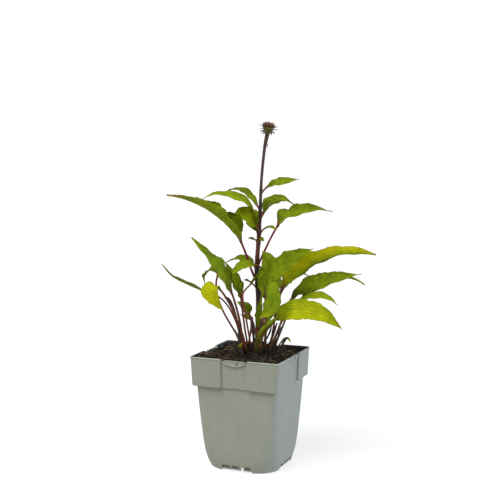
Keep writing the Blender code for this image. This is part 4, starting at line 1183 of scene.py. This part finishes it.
def make_fibres(rng, material):
    heap = Heap()
    limit = SOIL_HALF + 0.5
    for _ in range(FIBRES):
        place = scatter_place(rng)
        heading, pitch = rng.uniform(0, 2 * pi), rng.uniform(0.0, 0.5)
        length, radius = rng.uniform(6.0, 24.0), rng.uniform(0.10, 0.26)
        rings, centre = [], place + UP * 0.3
        for step in range(FIBRE_STEPS + 1):
            direction = round_about(heading) * cos(pitch) + UP * sin(pitch)
            thin = radius * (1.0 if 0 < step < FIBRE_STEPS else 0.4)
            rings.append(ring_round(centre, direction, thin, 5))
            centre = centre + direction * length / FIBRE_STEPS
            low = soil_height(centre.x, centre.y) + 0.25
            pitch = max(-0.5, pitch - 0.11) if centre.z > low else 0.15
            centre.z = max(centre.z, low)
            heading += rng.uniform(-0.28, 0.28)
            centre.x = min(max(centre.x, -limit), limit)
            centre.y = min(max(centre.y, -limit), limit)
        heap.add(rings, tone=rng.choice((0.50, 0.60, 0.70, 0.80, 0.90, 0.40)) * (1 - wetness(place, 0.7)))
    heap.make("soil_fibres", material, slot="soil")


# Studio


def add_light(name, towards, angle, power, colour):
    """A far, broad soft light that comes from a direction."""
    data = bpy.data.lights.new(name, "SUN")
    data.angle, data.energy, data.color = radians(angle), power, colour
    obj = show(name, data)
    obj.rotation_euler = towards.to_track_quat("Z", "Y").to_euler()
    obj.location = towards.normalized()


def make_studio():
    mesh = bpy.data.meshes.new("studio_floor")
    f = FLOOR_HALF
    corners = [(x, y, FLOOR_LEVEL) for x, y in ((-f, -f), (f, -f), (f, f), (-f, f))]
    mesh.from_pydata(corners, [], [(0, 1, 2, 3)])
    mesh.materials.append(floor_material())
    show("studio_floor", mesh)
    world = bpy.data.worlds.new("studio_light")
    bpy.context.scene.world = world
    world.use_nodes = True
    nodes, links = world.node_tree.nodes, world.node_tree.links
    up = nodes.new("ShaderNodeTexCoord").outputs["Generated"]
    split = nodes.new("ShaderNodeSeparateXYZ")
    fade = nodes.new("ShaderNodeMapRange")
    links.new(up, split.inputs[0])
    links.new(split.outputs[2], fade.inputs[0])
    for socket, value in zip(fade.inputs[1:5], WALL_FADE):
        socket.default_value = value
    links.new(fade.outputs[0], nodes["Background"].inputs["Strength"])
    nodes["Background"].inputs["Color"].default_value = (1.0, 1.0, 1.0, 1.0)
    for name, u, v, z, *rest in LIGHTS:
        add_light(name, plant_point(u, v, z), *rest)
    view = bpy.context.scene.view_settings
    view.view_transform, view.look = "Standard", "None"


def make_camera():
    elevation = radians(CAMERA_HEIGHT_DEG)
    away = Vector((0, cos(elevation), -sin(elevation)))
    eye = Vector(CAMERA_AIM) - away * CAMERA_DISTANCE
    data = bpy.data.cameras.new("camera")
    data.lens, data.sensor_width, data.sensor_fit = LENS, SENSOR, "HORIZONTAL"
    data.clip_start, data.clip_end = 0.05, 30.0
    camera = show("camera", data)
    camera.location = (TURN @ eye + POT_CENTRE) * MM
    camera.rotation_euler = (TURN @ away).to_track_quat("-Z", "Y").to_euler()
    bpy.context.scene.camera = camera


make_camera()
make_studio()
leaf_surface = leaf_material()
withered = toned_material(
    "withered_skin", (0.0, 0.02, 0.012, 0.008), (0.5, 0.07, 0.04, 0.022), (1.0, 0.2, 0.13, 0.07),
)
for leaf in BASAL_LEAVES + CROWN_LEAVES:
    make_leaf(leaf, True, withered if leaf[0] in WITHERED else leaf_surface)
for leaf in STEM_LEAVES:
    make_leaf(leaf, False, leaf_surface)
make_stem(stem_material(), [plant_point(*leaf[-1][0]) for leaf in STEM_LEAVES])
for stalk in STALKS:
    make_stalk(*stalk, withered)
make_involucre(toned_material(
    "bract_skin", (0.0, 0.24, 0.205, 0.018), (0.3, 0.110, 0.110, 0.012), (0.6, 0.026, 0.033, 0.008),
    (0.8, 0.075, 0.036, 0.016), (1.0, 0.15, 0.060, 0.034),
))
make_disc(toned_material(
    "disc_scales", (0.0, 0.018, 0.011, 0.006), (0.35, 0.085, 0.042, 0.020), (0.6, 0.17, 0.068, 0.034),
    (0.8, 0.085, 0.028, 0.020), (1.0, 0.20, 0.085, 0.048),
))
make_pot(pot_outside_material(), pot_inside_material())
compost = soil_material()
make_soil(compost)
litter_rng = random.Random(21)
for make_litter in (make_crumbs, make_chips, make_fibres):
    make_litter(litter_rng, compost)
